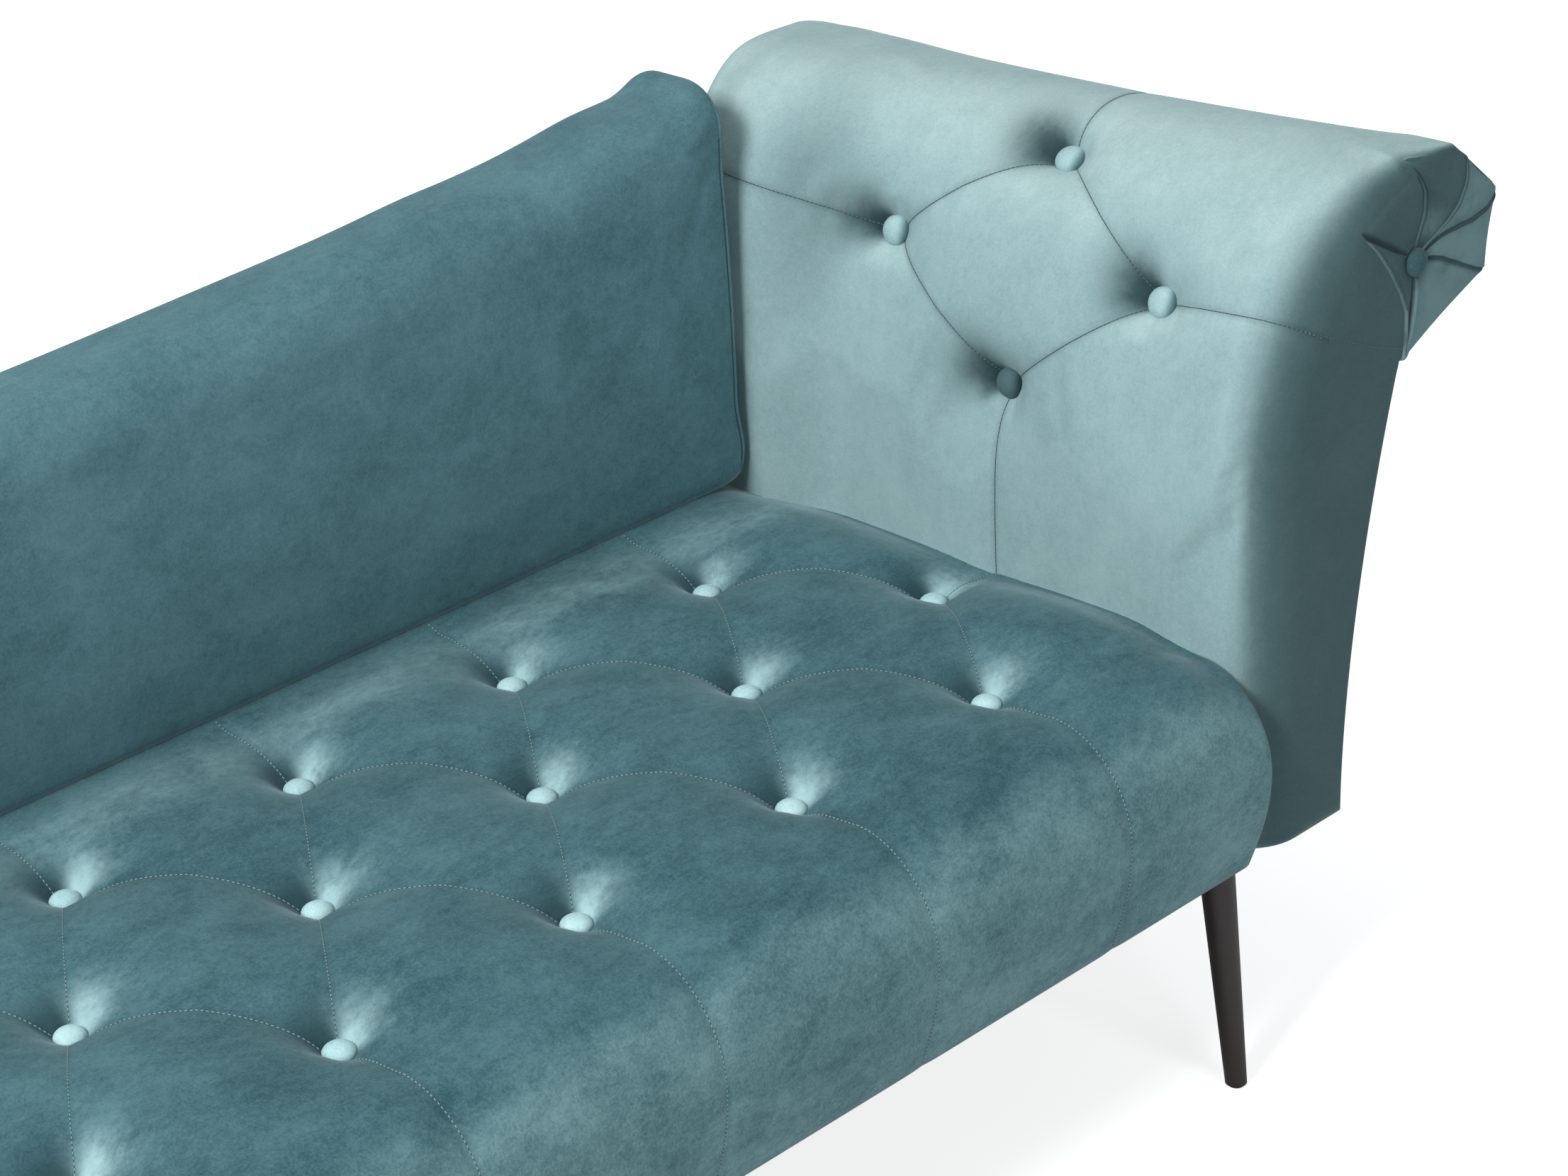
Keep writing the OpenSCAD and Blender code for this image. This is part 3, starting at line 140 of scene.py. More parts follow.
def new_piece(name, points, faces, attributes=None):
    """An object whose mesh has these points, in millimetres, and faces."""
    mesh = bpy.data.meshes.new(name)
    mesh.from_pydata((np.asarray(points, float) * MM).tolist(), [], faces)
    mesh.validate()
    mesh.polygons.foreach_set("use_smooth", [True] * len(mesh.polygons))
    for key, values in (attributes or {}).items():
        layer = mesh.attributes.new(key, "FLOAT", "POINT")
        layer.data.foreach_set("value", np.asarray(values, np.float32))
    return add_object(name, mesh)


@contextmanager
def edited(mesh):
    """The mesh as a bmesh, written back at the end."""
    b = bmesh.new()
    b.from_mesh(mesh)
    yield b
    b.to_mesh(mesh)
    b.free()


def outward(piece):
    """Merges what coincides and turns the faces outwards."""
    with edited(piece.data) as b:
        bmesh.ops.remove_doubles(b, verts=b.verts, dist=1e-6)
        bmesh.ops.recalc_face_normals(b, faces=b.faces)
    return piece


def grid_faces(rows, cols, rows_close=False, cols_close=False):
    """Four-sided faces between rows of points, which may close on themselves either way."""
    faces = []
    for i in range(rows if rows_close else rows - 1):
        low, high = i * cols, (i + 1) % rows * cols
        for j in range(cols if cols_close else cols - 1):
            k = (j + 1) % cols
            faces.append((low + j, low + k, high + k, high + j))
    return faces


def diamond_faces(rows, cols, first_row, first_col, swapped):
    """Triangles of a grid, split along the seams between the buttons, from the first cell on."""
    faces = []
    for i in range(rows - 1):
        for j in range(cols - 1):
            a, c = i * cols + j, (i + 1) * cols + j + 1
            b, d = (a + 1, c - 1) if swapped else (c - 1, a + 1)
            falling = ((i - first_row) // CELL + (j - first_col) // CELL) % 2 == 0
            faces += [(a, b, d), (b, c, d)] if falling else [(a, b, c), (a, c, d)]
    return faces


def end_cap(ring, y_end, facing, step, crown):
    """Inner points and faces that fill a flat ring of x and z with a slight swell."""
    ring = np.asarray(ring, float)
    low, high = ring.min(0), ring.max(0)
    gx, gz = np.meshgrid(np.arange(low[0], high[0], step), np.arange(low[1], high[1], step))
    spots = np.stack([gx.ravel(), gz.ravel()], -1)
    nxt = np.roll(ring, -1, axis=0)
    crossed = (ring[:, 1] > spots[:, 1:2]) != (nxt[:, 1] > spots[:, 1:2])
    rise = nxt[:, 1] - ring[:, 1]
    rise = np.where(np.abs(rise) < 1e-9, 1e-9, rise)
    at = ring[:, 0] + (spots[:, 1:2] - ring[:, 1]) * (nxt[:, 0] - ring[:, 0]) / rise
    inside = (crossed & (spots[:, 0:1] < at)).sum(1) % 2 == 1
    spots = spots[inside]
    off = np.hypot(spots[:, 0:1] - ring[:, 0], spots[:, 1:2] - ring[:, 1]).min(1)
    spots, off = spots[off > 0.55 * step], off[off > 0.55 * step]
    given = [Vector(p) for p in ring] + [Vector(p) for p in spots]
    made = delaunay_2d_cdt(given, [], [list(range(len(ring)))], 1, 1e-7)
    source = [ids[0] for ids in made[3]]
    faces = [tuple(source[v] for v in face) for face in made[2]]
    y = y_end + facing * crown * (1 - np.exp(-off / 16.0))
    return np.stack([spots[:, 0], y, spots[:, 1]], -1), faces


def points_of(piece):
    co = np.empty(len(piece.data.vertices) * 3, np.float32)
    piece.data.vertices.foreach_get("co", co)
    return co.reshape(-1, 3).astype(float)


def mark_pits(piece, spots, highlight_way, shade_way, highlight_reach, shade_reach, rear_strip=0.0):
    """Writes a painted highlight on one side of each button and painted shade on the other, as the
    pale and dark attributes.
    """
    where = points_of(piece) / MM
    away = np.array([where - np.asarray(spot) for spot in spots])
    far = np.linalg.norm(away, axis=2)
    nearest = far.argmin(0)
    pick = np.arange(len(where))
    away, far = away[nearest, pick], np.maximum(far[nearest, pick], 1e-6)
    for key, way, reach in (("pale", highlight_way, highlight_reach), ("dark", shade_way, shade_reach)):
        side = np.clip(away @ np.asarray(way) / far, 0.0, 1.0) ** 1.4 * bell(far, reach, 1.6)
        # A paler strip near the back is painted in the same highlight colour.
        if key == "pale":
            side = np.maximum(side, rear_strip * bell(where[:, 1] - REAR_STRIP_Y, REAR_STRIP_WIDE))
        layer = piece.data.attributes.new(key, "FLOAT", "POINT")
        layer.data.foreach_set("value", side.astype(np.float32))


def settle(piece, pins, pressure, frames, cap):
    """Lets the cover fill out under pressure, held at its pins, and keeps the result."""
    rest = points_of(piece)
    group = piece.vertex_groups.new(name="held")
    for level in np.unique(np.round(pins, 2)):
        if level > 0:
            found = np.nonzero(np.round(pins, 2) == level)[0]
            group.add(found.tolist(), float(level), "REPLACE")
    cloth = piece.modifiers.new("filling", "CLOTH")
    for key, value in (
        ("quality", 4), ("mass", 0.3), ("tension_stiffness", 12), ("compression_stiffness", 12),
        ("shear_stiffness", 8), ("bending_stiffness", 1.2), ("vertex_group_mass", group.name),
        ("pin_stiffness", 1.0), ("use_pressure", True), ("uniform_pressure_force", pressure),
    ):
        setattr(cloth.settings, key, value)
    cloth.settings.effector_weights.gravity = 0
    cloth.collision_settings.use_collision = False
    cloth.collision_settings.use_self_collision = False
    scene = bpy.context.scene
    for k in range(1, frames + 1):
        scene.frame_set(k)
    shape = piece.evaluated_get(bpy.context.evaluated_depsgraph_get())
    moved = np.array([v.co for v in shape.data.vertices], float)
    piece.modifiers.remove(cloth)
    piece.vertex_groups.remove(group)
    scene.frame_set(1)
    step = moved - rest
    size = np.linalg.norm(step, axis=1, keepdims=True)
    step *= np.minimum(1.0, cap * MM / np.maximum(size, 1e-9))
    step *= (1.0 - np.clip(pins, 0, 1))[:, None]
    piece.data.vertices.foreach_set("co", (rest + step).astype(np.float32).ravel())
    piece.data.update()


# Seat: a grid over the top whose diagonals carry the seams, and rings down the nose
def col_x(c):
    return TUFT_X0 - c * TUFT_HALF


seat_buttons = [(col_x(c), ROW_B) for c in range(0, TUFT_COLS + 1, 2)]
for row in (ROW_A, ROW_C):
    seat_buttons += [(col_x(c), row) for c in range(1, TUFT_COLS + 1, 2)]
seat_tied = []
for c in range(TUFT_COLS):
    inner, outer = (c, c + 1) if c % 2 == 0 else (c + 1, c)
    for row in (ROW_A, ROW_C):
        seat_tied.append(((col_x(inner), ROW_B), (col_x(outer), row)))
seat_loose = []
for c in range(1, TUFT_COLS + 1, 2):
    seat_loose.append(((col_x(c), ROW_A), (col_x(c), Y_CREST)))
    seat_loose.append(((col_x(c), ROW_C), (col_x(c), Y_BACK)))
seat_loose.append(((TUFT_X0, ROW_B), (X_ARM, ROW_B)))
for row in (ROW_A, ROW_C):
    seat_loose.append(((X_TUFT_LAST, row), (X_CREST, row)))


def seat_height(x, y):
    """Height of the seat over a point in plan, and its crease."""
    fall = NOSE_FALL * bell(np.maximum(y - Y_CREST, 0), EDGE_WIDE)
    foot = NOSE_FALL * bell(np.maximum(x - X_CREST, 0), EDGE_WIDE)
    fall = fall + foot * np.clip((Y_BACK - y) / 108.0, 0, 1)
    fall = fall + ARM_FALL * bell(np.maximum(X_ARM - x, 0), EDGE_WIDE)
    fall = fall + BACK_FALL * bell(np.maximum(Y_BACK - y, 0), EDGE_WIDE)
    seams = seat_tied + seat_loose
    dip, crease = tufting(x, y, seat_buttons, seams, PIT_DEPTH, PIT_REACH, SEAT_SEED)
    under_back = smooth((y - Y_BACK + 14.0) / 14.0)
    return Z_PLANE + SEAT_CROWN - fall - dip * (1 - under_back), crease * (1 - under_back)


def lines(*stops):
    """Places from the first stop to the last, with the number of steps between each two."""
    out = [stops[0]]
    for k in range(1, len(stops), 2):
        a, n, b = out[-1], stops[k], stops[k + 1]
        out += [a + (b - a) * (i + 1) / n for i in range(n)]
    return np.array(out)


NOSE_HIGH, NOSE_LOW = 18, 10


def seat_ring(k):
    """Reach and drop of ring k of the nose; the drop is a share of the crest's height."""
    share = NOSE_DROP / (Z_PLANE + SEAT_CROWN - NOSE_FALL - Z_UNDER)
    if k <= NOSE_HIGH:
        a = math.pi / 2 * k / NOSE_HIGH
        return NOSE_ROUND * math.sin(a), share * (1 - math.cos(a))
    t = (k - NOSE_HIGH) / NOSE_LOW
    return NOSE_ROUND - NOSE_OVER * (1 - math.cos(math.pi / 2 * t)), share + (1 - share) * t


def make_seat():
    stops = [X_SEAT, 4, 474.0, 12, TUFT_X0]
    for c in range(1, TUFT_COLS + 1):
        stops += [CELL, col_x(c)]
    xs = lines(*stops, 10, X_CREST)
    ys = lines(Y_CREST, 13, ROW_A, CELL, ROW_B, CELL, ROW_C, 17, Y_BACK, 4, Y_REAR)
    nx, ny = len(xs), len(ys)
    gx, gy = np.meshgrid(xs, ys, indexing="ij")
    gz, crease = seat_height(gx, gy)
    top = np.stack([gx, gy, gz], -1).reshape(-1, 3)
    crest = [(i * ny, 270.0) for i in range(nx)]
    crest += [((nx - 1) * ny, 270.0 - 90.0 * k / 14) for k in range(1, 14)]
    crest += [((nx - 1) * ny + j, 180.0) for j in range(ny)]
    nc = len(crest)
    base = top[[c[0] for c in crest]]
    aim = np.radians([c[1] for c in crest])
    line_dip = np.zeros(nc)
    for a, b in seat_loose:
        end = np.array(b)
        off = np.hypot(base[:, 0] - end[0], base[:, 1] - end[1])
        line_dip = np.maximum(line_dip, bell(off, 8.0, 1.4))
    line_dip[base[:, 1] > Y_BACK - 20] = 0
    arm_end = quarter(15.0, X_SEAT - base[:, 0]) * (np.abs(aim - math.radians(270)) < 0.1)
    rings, ring_crease = [], []
    for k in range(1, NOSE_HIGH + NOSE_LOW + 1):
        reach, drop = seat_ring(k)
        turn = math.sin(math.pi / 2 * min(1.0, k / NOSE_HIGH))
        fade = 1 - 0.55 * k / (NOSE_HIGH + NOSE_LOW)
        r = reach - line_dip * 2.6 * turn * fade - arm_end * turn
        z = Z_UNDER + (base[:, 2] - Z_UNDER) * (1 - drop)
        rings.append(np.stack([base[:, 0] + r * np.cos(aim), base[:, 1] + r * np.sin(aim), z], -1))
        # The nose's seam lines also take painted shade in the crease attribute.
        ring_crease.append(line_dip * 0.8)
    points = np.concatenate([top, *rings, [[X_SEAT, Y_REAR, Z_UNDER]]])
    creases = np.concatenate([crease.ravel(), *ring_crease, [0]])
    faces = diamond_faces(nx, ny, 16, 13, False)

    def ring_id(k, c):
        return crest[c][0] if k == 0 else nx * ny + (k - 1) * nc + c

    last = NOSE_HIGH + NOSE_LOW
    for k in range(last):
        for c in range(nc - 1):
            a, b = ring_id(k, c), ring_id(k + 1, c)
            d, e = ring_id(k, c + 1), ring_id(k + 1, c + 1)
            faces.append((a, b, e) if a == d else (a, b, e, d))
    corner = len(points) - 1
    faces.append([*range(ny)][::-1] + [ring_id(k, 0) for k in range(1, last + 1)] + [corner])
    rear = [i * ny + ny - 1 for i in range(nx)] + [ring_id(k, nc - 1) for k in range(1, last + 1)]
    faces.append(rear + [corner])
    faces.append([ring_id(last, c) for c in range(nc)] + [corner])
    # The crease attribute is painted shade along the seams; the same values hold the seams while
    # the cover settles.
    seat = outward(new_piece("seat_upholstery", points, faces, {"crease": creases}))
    where = points_of(seat) / MM
    near = np.min([np.hypot(where[:, 0] - x, where[:, 1] - y) for x, y in seat_buttons], axis=0)
    pins = np.maximum(bell(near, 16.0), 0.75 * np.clip(creases[: len(where)], 0, 1) ** 2)
    edge = (where[:, 2] < Z_UNDER + 45) | (where[:, 1] > Y_BACK - 12) | (where[:, 0] > X_SEAT - 9)
    pins[edge] = 1.0
    settle(seat, pins, pressure=2.2, frames=14, cap=5.0)
    with edited(seat.data) as b:
        b.faces.ensure_lookup_table()
        under = max(b.faces, key=lambda f: f.calc_area())
        bmesh.ops.inset_region(b, faces=[under], thickness=0.006)
        bmesh.ops.inset_region(b, faces=[under], thickness=0.0004, depth=-0.003)
    # Painted highlight and painted shade round the seat's buttons.
    mark_pits(seat, [(x, y, Z_PLANE - 6) for x, y in seat_buttons],
              highlight_way=(0.97, 0.24, 0.0), shade_way=(-0.2, 0.98, 0.0),
              highlight_reach=50.0, shade_reach=46.0, rear_strip=0.31)
    return seat


# Arm: an outline carried from the front to the rear
Y_ARM_REAR, Y_ARM_MID = 351.5, ROW_B - 6.0
ARM_HEIGHT, ROLL_R, ROLL_HALF, ARM_TAPER, ARM_EDGE = 839.0, 104.0, 118.0, 64.0, 35.0
ARM_RISE = ARM_HEIGHT - Z_UNDER
Z_SHOULDER, Z_NECK = Z_UNDER + 0.526 * ARM_RISE, Z_UNDER + 0.683 * ARM_RISE
ROLL_Z, X_NECK, X_FOOT = ARM_HEIGHT - ROLL_R, X_ARM + 202.0, X_ARM + 126.0
Y_TAPER = Y_FRONT + ARM_EDGE
UPRIGHT_N, SHOULDER_N, ROLL_N, UNDER_N, OUTER_N = 40, 60, 44, 12, 50
LIP = 32.0
# The roll's end is drawn into flats between the folds of the fan
SCROLL_CORNERS = [(613.0, 792.0), (683.0, 836.0), (758.0, 829.0), (822.0, 774.0),
                  (808.0, 699.0), (686.0, 647.0)]
SCROLL_BUTTON = (698.0, 738.0)
SOFT_FRONT = 55.0
# Softness of the arm's end edges: lengths along the outline from its top, and radii
FRONT_EDGE = ([-160, -115, -63, -20, 12, 40, 75], [SOFT_FRONT, 52.0, 37.0, 22.0, 13.0, 7.0, 6.0])
REAR_EDGE = ([-160, 19, 37, 63, 83], [18.0, 11.0, 10.0, 9.0, 8.0])


def arm_outline(y):
    """Points of the arm's outline at one place along its depth."""
    share = np.clip((y - Y_TAPER) / (Y_ARM_REAR - Y_TAPER), 0, 1)
    draw = ARM_TAPER * (1 - (1 - share) ** 2.3)
    x_roll, x_neck = X_END - ROLL_HALF - draw, X_NECK - 0.5 * draw
    power = 2.0 + 2.1 * share**4
    mid = np.clip((Y_ARM_MID - Y_TAPER) / (Y_ARM_REAR - Y_TAPER), 0, 1)
    mid_power = 2.0 + 2.4 * mid**4
    t = np.linspace(0, 1, UPRIGHT_N + 1)[:-1]
    parts = [np.stack([np.full_like(t, X_ARM), Z_UNDER + (Z_SHOULDER - Z_UNDER) * t], -1)]
    a = np.linspace(0, math.pi / 2, SHOULDER_N + 1)[:-1]
    up = np.sin(a) ** (2 / mid_power)
    across = (1 - up**power) ** (1 / power)
    x = x_roll - (x_roll - X_ARM) * across
    parts.append(np.stack([x, Z_SHOULDER + (ARM_HEIGHT - Z_SHOULDER) * up], -1))
    a = np.radians(np.linspace(90, -22, ROLL_N + 1))
    roll = np.stack([x_roll + ROLL_HALF * np.cos(a), ROLL_Z + ROLL_R * np.sin(a)], -1)
    parts.append(roll)
    t = np.linspace(0, 1, UNDER_N + 1)[1:, None]
    neck = np.array([[x_neck, Z_NECK]])
    parts.append(roll[-1] + (neck - roll[-1]) * t)
    t = 1 - np.linspace(0, 1, OUTER_N + 1)[1:]
    x = X_FOOT + (x_neck - X_FOOT) * t**1.75
    parts.append(np.stack([x, Z_UNDER + (Z_NECK - Z_UNDER) * t], -1))
    return np.concatenate(parts)


K_SHOULDER = UPRIGHT_N + SHOULDER_N
K_LIP = K_SHOULDER + ROLL_N
K_NECK = K_LIP + UNDER_N
mid_outline = arm_outline(Y_ARM_MID)
mid_run = np.concatenate([[0], np.cumsum(np.linalg.norm(np.diff(mid_outline, axis=0), axis=1))])
S_TOP, S_LIP, S_NECK, S_END = (mid_run[k] for k in (K_SHOULDER, K_LIP, K_NECK, -1))
ARM_LOW, ARM_STEP, ARM_HALF = 0.623 * ARM_RISE, 0.192 * ARM_RISE, 152.0
arm_buttons = [
    (ARM_LOW, Y_ARM_MID),
    (ARM_LOW + ARM_STEP, Y_ARM_MID - ARM_HALF),
    (ARM_LOW + ARM_STEP, Y_ARM_MID + ARM_HALF),
    (ARM_LOW + 2 * ARM_STEP, Y_ARM_MID),
]
arm_tied = [(arm_buttons[a], arm_buttons[b]) for a in (0, 3) for b in (1, 2)]
arm_loose = [
    (arm_buttons[0], (0.0, Y_ARM_MID)),
    (arm_buttons[3], (S_LIP, Y_ARM_MID)),
    (arm_buttons[1], (arm_buttons[1][0] + 9.0, Y_FRONT)),
    (arm_buttons[2], (arm_buttons[2][0] + 34.0, Y_ARM_REAR)),
]


def flats(angle):
    """Distance from the scroll button to the straight edges between the roll's corners."""
    ends = np.array(SCROLL_CORNERS) - SCROLL_BUTTON
    turns = np.degrees(np.arctan2(ends[:, 1], ends[:, 0]))
    best = np.full(np.shape(angle), np.nan)
    for k in range(len(ends) - 1):
        p, q = ends[k], ends[k + 1]
        low, high = min(turns[k], turns[k + 1]), max(turns[k], turns[k + 1])
        inside = (angle >= low - 1e-6) & (angle <= high + 1e-6)
        ray = np.stack([np.cos(np.radians(angle)), np.sin(np.radians(angle))], -1)
        edge = q - p
        cross = ray[..., 0] * edge[1] - ray[..., 1] * edge[0]
        reach = (p[0] * edge[1] - p[1] * edge[0]) / np.where(np.abs(cross) < 1e-9, 1e-9, cross)
        best = np.where(inside, reach, best)
    return best


def read_path(path, k):
    """Places on a path, k steps along its list of points."""
    at = np.arange(len(path))
    return np.interp(k, at, path[:, 0]), np.interp(k, at, path[:, 1])


def square_to(tx, tz):
    """The unit way square to another one, towards the inside of the arm."""
    size = np.maximum(np.hypot(tx, tz), 1e-9)
    return tz / size, -tx / size


ARM_PIT, ARM_REACH, ARM_SEED = 29.0, 31.0, 8
# How far the cover swells at its rear: at mid height, beside the back, and over the roll
PUFF, MEET_BACK, CREST = 6.0, 22.0, 7.0
# How far the cover lies back behind the roll's lip
POCKET = 4.0


def arm_surface(s, y):
    """Points of the arm's surface for lengths s along the outline at one depth y."""
    path = arm_outline(y)
    k = np.interp(s, mid_run, np.arange(len(mid_run)))
    x, z = read_path(path, k)
    x_on, z_on = read_path(path, np.clip(k + 0.6, 0, len(path) - 1))
    x_off, z_off = read_path(path, np.clip(k - 0.6, 0, len(path) - 1))
    nx, nz = square_to(x_on - x_off, z_on - z_off)
    end = min(y - Y_FRONT, Y_ARM_REAR - y)
    edge = FRONT_EDGE if y < Y_ARM_MID else REAR_EDGE
    radius = np.interp(s - S_TOP, edge[0], edge[1])
    d = quarter(radius, np.full_like(s, end))
    seams = arm_tied + arm_loose
    dip, crease = tufting(s, np.full_like(s, y), arm_buttons, seams, ARM_PIT, ARM_REACH, ARM_SEED)
    on_face = 1 - smooth((s - S_LIP + 40) / 30)
    pocket = smooth((s - S_LIP - LIP) / 3) * smooth((end - 12) / 3) * POCKET
    d = d + dip * on_face + pocket
    if y < 0:
        near = 1 - smooth((y - Y_FRONT) / 95.0)
        turn = np.degrees(np.arctan2(z - SCROLL_BUTTON[1], x - SCROLL_BUTTON[0]))
        reach = flats(np.clip(turn, -99.0, 146.0))
        out = np.hypot(z - SCROLL_BUTTON[1], x - SCROLL_BUTTON[0])
        on_roll = smooth((s - S_TOP + 60) / 60) * (1 - smooth((s - S_NECK + 18) / 18))
        push = np.where(np.isnan(reach), 0, reach - out) * near * on_roll
        x = x + push * (x - SCROLL_BUTTON[0]) / np.maximum(out, 1)
        z = z + push * (z - SCROLL_BUTTON[1]) / np.maximum(out, 1)
    rear = smooth((y - 120) / 190)
    puff = rear * bell(s - 0.5 * (S_TOP + mid_run[UPRIGHT_N]) - 20, 105.0) * PUFF
    above = smooth((s - 520) / 80) * smooth((y - 290) / 50)
    beside_back = smooth((y - 150) / 105) * bell(s - 400.0, 270.0, 4.0) * MEET_BACK * (1 - above)
    crest = smooth((y - 270) / 70) * bell(s - S_TOP + 18, 40.0) * CREST
    d = d - puff - beside_back - crest
    return np.stack([x + nx * d, np.full_like(s, y), z + nz * d], -1), crease * on_face


def make_arm():
    s = lines(0.0, 52, ARM_LOW, CELL, ARM_LOW + ARM_STEP, CELL, ARM_LOW + 2 * ARM_STEP, 24, S_TOP,
              40, S_LIP, 6, S_LIP + LIP, 3, S_LIP + LIP + 6, 8, S_NECK, 40, S_END)
    rounding = ARM_EDGE * (1 - np.cos(np.radians(np.linspace(0, 90, 10))))
    near, far = Y_ARM_MID - ARM_HALF, Y_ARM_MID + ARM_HALF
    inner = lines(Y_FRONT + ARM_EDGE, 16, near, CELL, Y_ARM_MID, CELL, far, 30,
                  Y_ARM_REAR - ARM_EDGE)
    ys = np.concatenate([Y_FRONT + rounding[:-1], inner, (Y_ARM_REAR - rounding[:-1])[::-1]])
    rows = [arm_surface(s, y) for y in ys]
    points = np.stack([r[0] for r in rows], 1)
    creases = np.stack([r[1] for r in rows], 1).ravel()
    ns, ny = len(s), len(ys)
    faces = diamond_faces(ns, ny, 52, 25, True)
    under = [(ns - 1) * ny + j for j in range(ny)][::-1] + list(range(ny))
    faces.append(under[::-1])
    everything = [points.reshape(-1, 3)]
    total = ns * ny
    for j, facing, crown in ((0, -1, 0.9), (ny - 1, 1, 1.2)):
        spots, fill = end_cap(points[:, j][:, [0, 2]], ys[j], facing, 11.0, crown)
        ids = [i * ny + j for i in range(ns)] + [total + k for k in range(len(spots))]
        faces += [tuple(ids[v] for v in face) for face in fill]
        everything.append(spots)
        total += len(spots)
    everything = np.concatenate(everything)
    creases = np.concatenate([creases, np.zeros(total - ns * ny)])
    # The crease attribute is painted shade along the seams; the same values hold the seams while
    # the cover settles.
    arm = outward(new_piece("arm_upholstery", everything, faces, {"crease": creases}))
    run, place = np.repeat(s, ny), np.tile(ys, ns)
    near = np.min([np.hypot(run - a, place - b) for a, b in arm_buttons], axis=0)
    pins = np.maximum(bell(near, 15.0), 0.75 * np.clip(creases[: ns * ny], 0, 1) ** 2)
    pins[(run > S_TOP) | (place < Y_FRONT + 24) | (place > Y_ARM_REAR - 24) | (run < 30)] = 1.0
    pins = np.concatenate([pins, np.ones(total - ns * ny)])
    settle(arm, pins, pressure=2.0, frames=14, cap=4.5)
    # Painted highlight and painted shade round the arm's buttons.
    mark_pits(arm, [arm_surface(np.array([a]), b)[0][0] for a, b in arm_buttons],
              highlight_way=(0.0, -0.7, -0.7), shade_way=(0.0, 0.92, 0.39),
              highlight_reach=46.0, shade_reach=58.0)
    return arm


# Pleated end of the scroll: knife folds run from the rim to the button. Each fold has its
# turn about the button, how far it bows on its way in, and the height of its lip.
FOLD_STOPS = [0.0, 0.15, 0.30, 0.45, 0.65, 0.85, 1.0]
FOLDS = [
    (149.0, [0, 0, 0, 0, 0, 0, 0], 0.8),
    (97.0, [-13, -14, -18, -22, -18, -9, 0], 3.4),
    (47.0, [-6, -8, -14, -17, -16, -9, 0], 3.2),
    (14.0, [16, 16, 9, 2, -3, -3, 0], 2.2),
    (-20.0, [20, 18, 12, 6, 2, 0, 0], 1.3),
    (-99.0, [4, 4, 3, 2, 1, 0, 0], 0.0),
    (-211.0, [0, 0, 0, 0, 0, 0, 0], 0.0),
]
NECK_LIP = 3.8
# Edge of the pleats where they lie on the arm's front, from the neck up to the first nib
LAP_EDGE = [(686.0, 647.0), (687.0, 672.0), (687.0, 694.0), (678.0, 715.0), (662.0, 740.0),
            (643.0, 764.0), (631.0, 775.0)]
SECTOR_STOPS = [0.0, 0.012, 0.025, 0.04, 0.06, 0.085, 0.12, 0.17, 0.24, 0.33, 0.45, 0.6, 0.75,
                0.88, 0.95, 0.985]
# How much painted highlight each panel of the fan takes, in the order of the folds
PANEL_HIGHLIGHT = [0.0, 0.60, 0.85, 0.95, 0.90, 0.35]
# The panels whose folds end before the rim, the one beside the neck, and the lap
SHORT_PANELS, NECK_PANEL, LAP_PANEL = (0, 1), 4, 5
# Where a fold's crest lies past its line, the lap's rim and lift, the dish round the button,
# and how far the patch's skirt goes into the arm under the lap and elsewhere
FOLD_AT, FOLD_WIDE, LAP_RADIUS, LAP_LIFT = 3.2, 2.9, 2.6, 3.4
DISH_DEEP, DISH_WIDE, LAP_SKIRT, ROLL_SKIRT = 2.2, 19.0, 5.0, 9.0
RADIAL = 34
# Turns about the button, and what the rim does there
RIM_DRAWN = ([50, 64, 97, 120], [0, 0.5, 0.6, 1])
RIM_RADIUS = ([47, 60, 71, 85, 99, 120, 149], [6, 6, 9, 14, 25, 40, 53])
RIM_DIVES = ([50, 64], [0, 1])


def rim_table(ring, around):
    """Turns about the button, rising, and the rim's distance at each, for a run of points."""
    turns, reach = [], []
    for p, q in zip(ring, ring[1:] + (ring[:1] if around else [])):
        for n in range(24):
            x = p[0] + (q[0] - p[0]) * n / 24 - SCROLL_BUTTON[0]
            z = p[1] + (q[1] - p[1]) * n / 24 - SCROLL_BUTTON[1]
            turns.append((math.degrees(math.atan2(z, x)) + 211.0) % 360.0 - 211.0)
            reach.append(math.hypot(x, z))
    order = np.argsort(turns)
    return np.array(turns)[order], np.array(reach)[order]


def scroll_columns():
    """The panel and the share of its width of each line of points from button to rim."""
    columns = []
    for k in range(len(FOLDS) - 1):
        stops = np.linspace(0, 1, 70)[:-1] if k == LAP_PANEL else SECTOR_STOPS
        if k == NECK_PANEL:
            stops = sorted([*SECTOR_STOPS, *(1 - np.array(SECTOR_STOPS[1:9]))])
        columns += [(k, float(t)) for t in stops]
    return columns


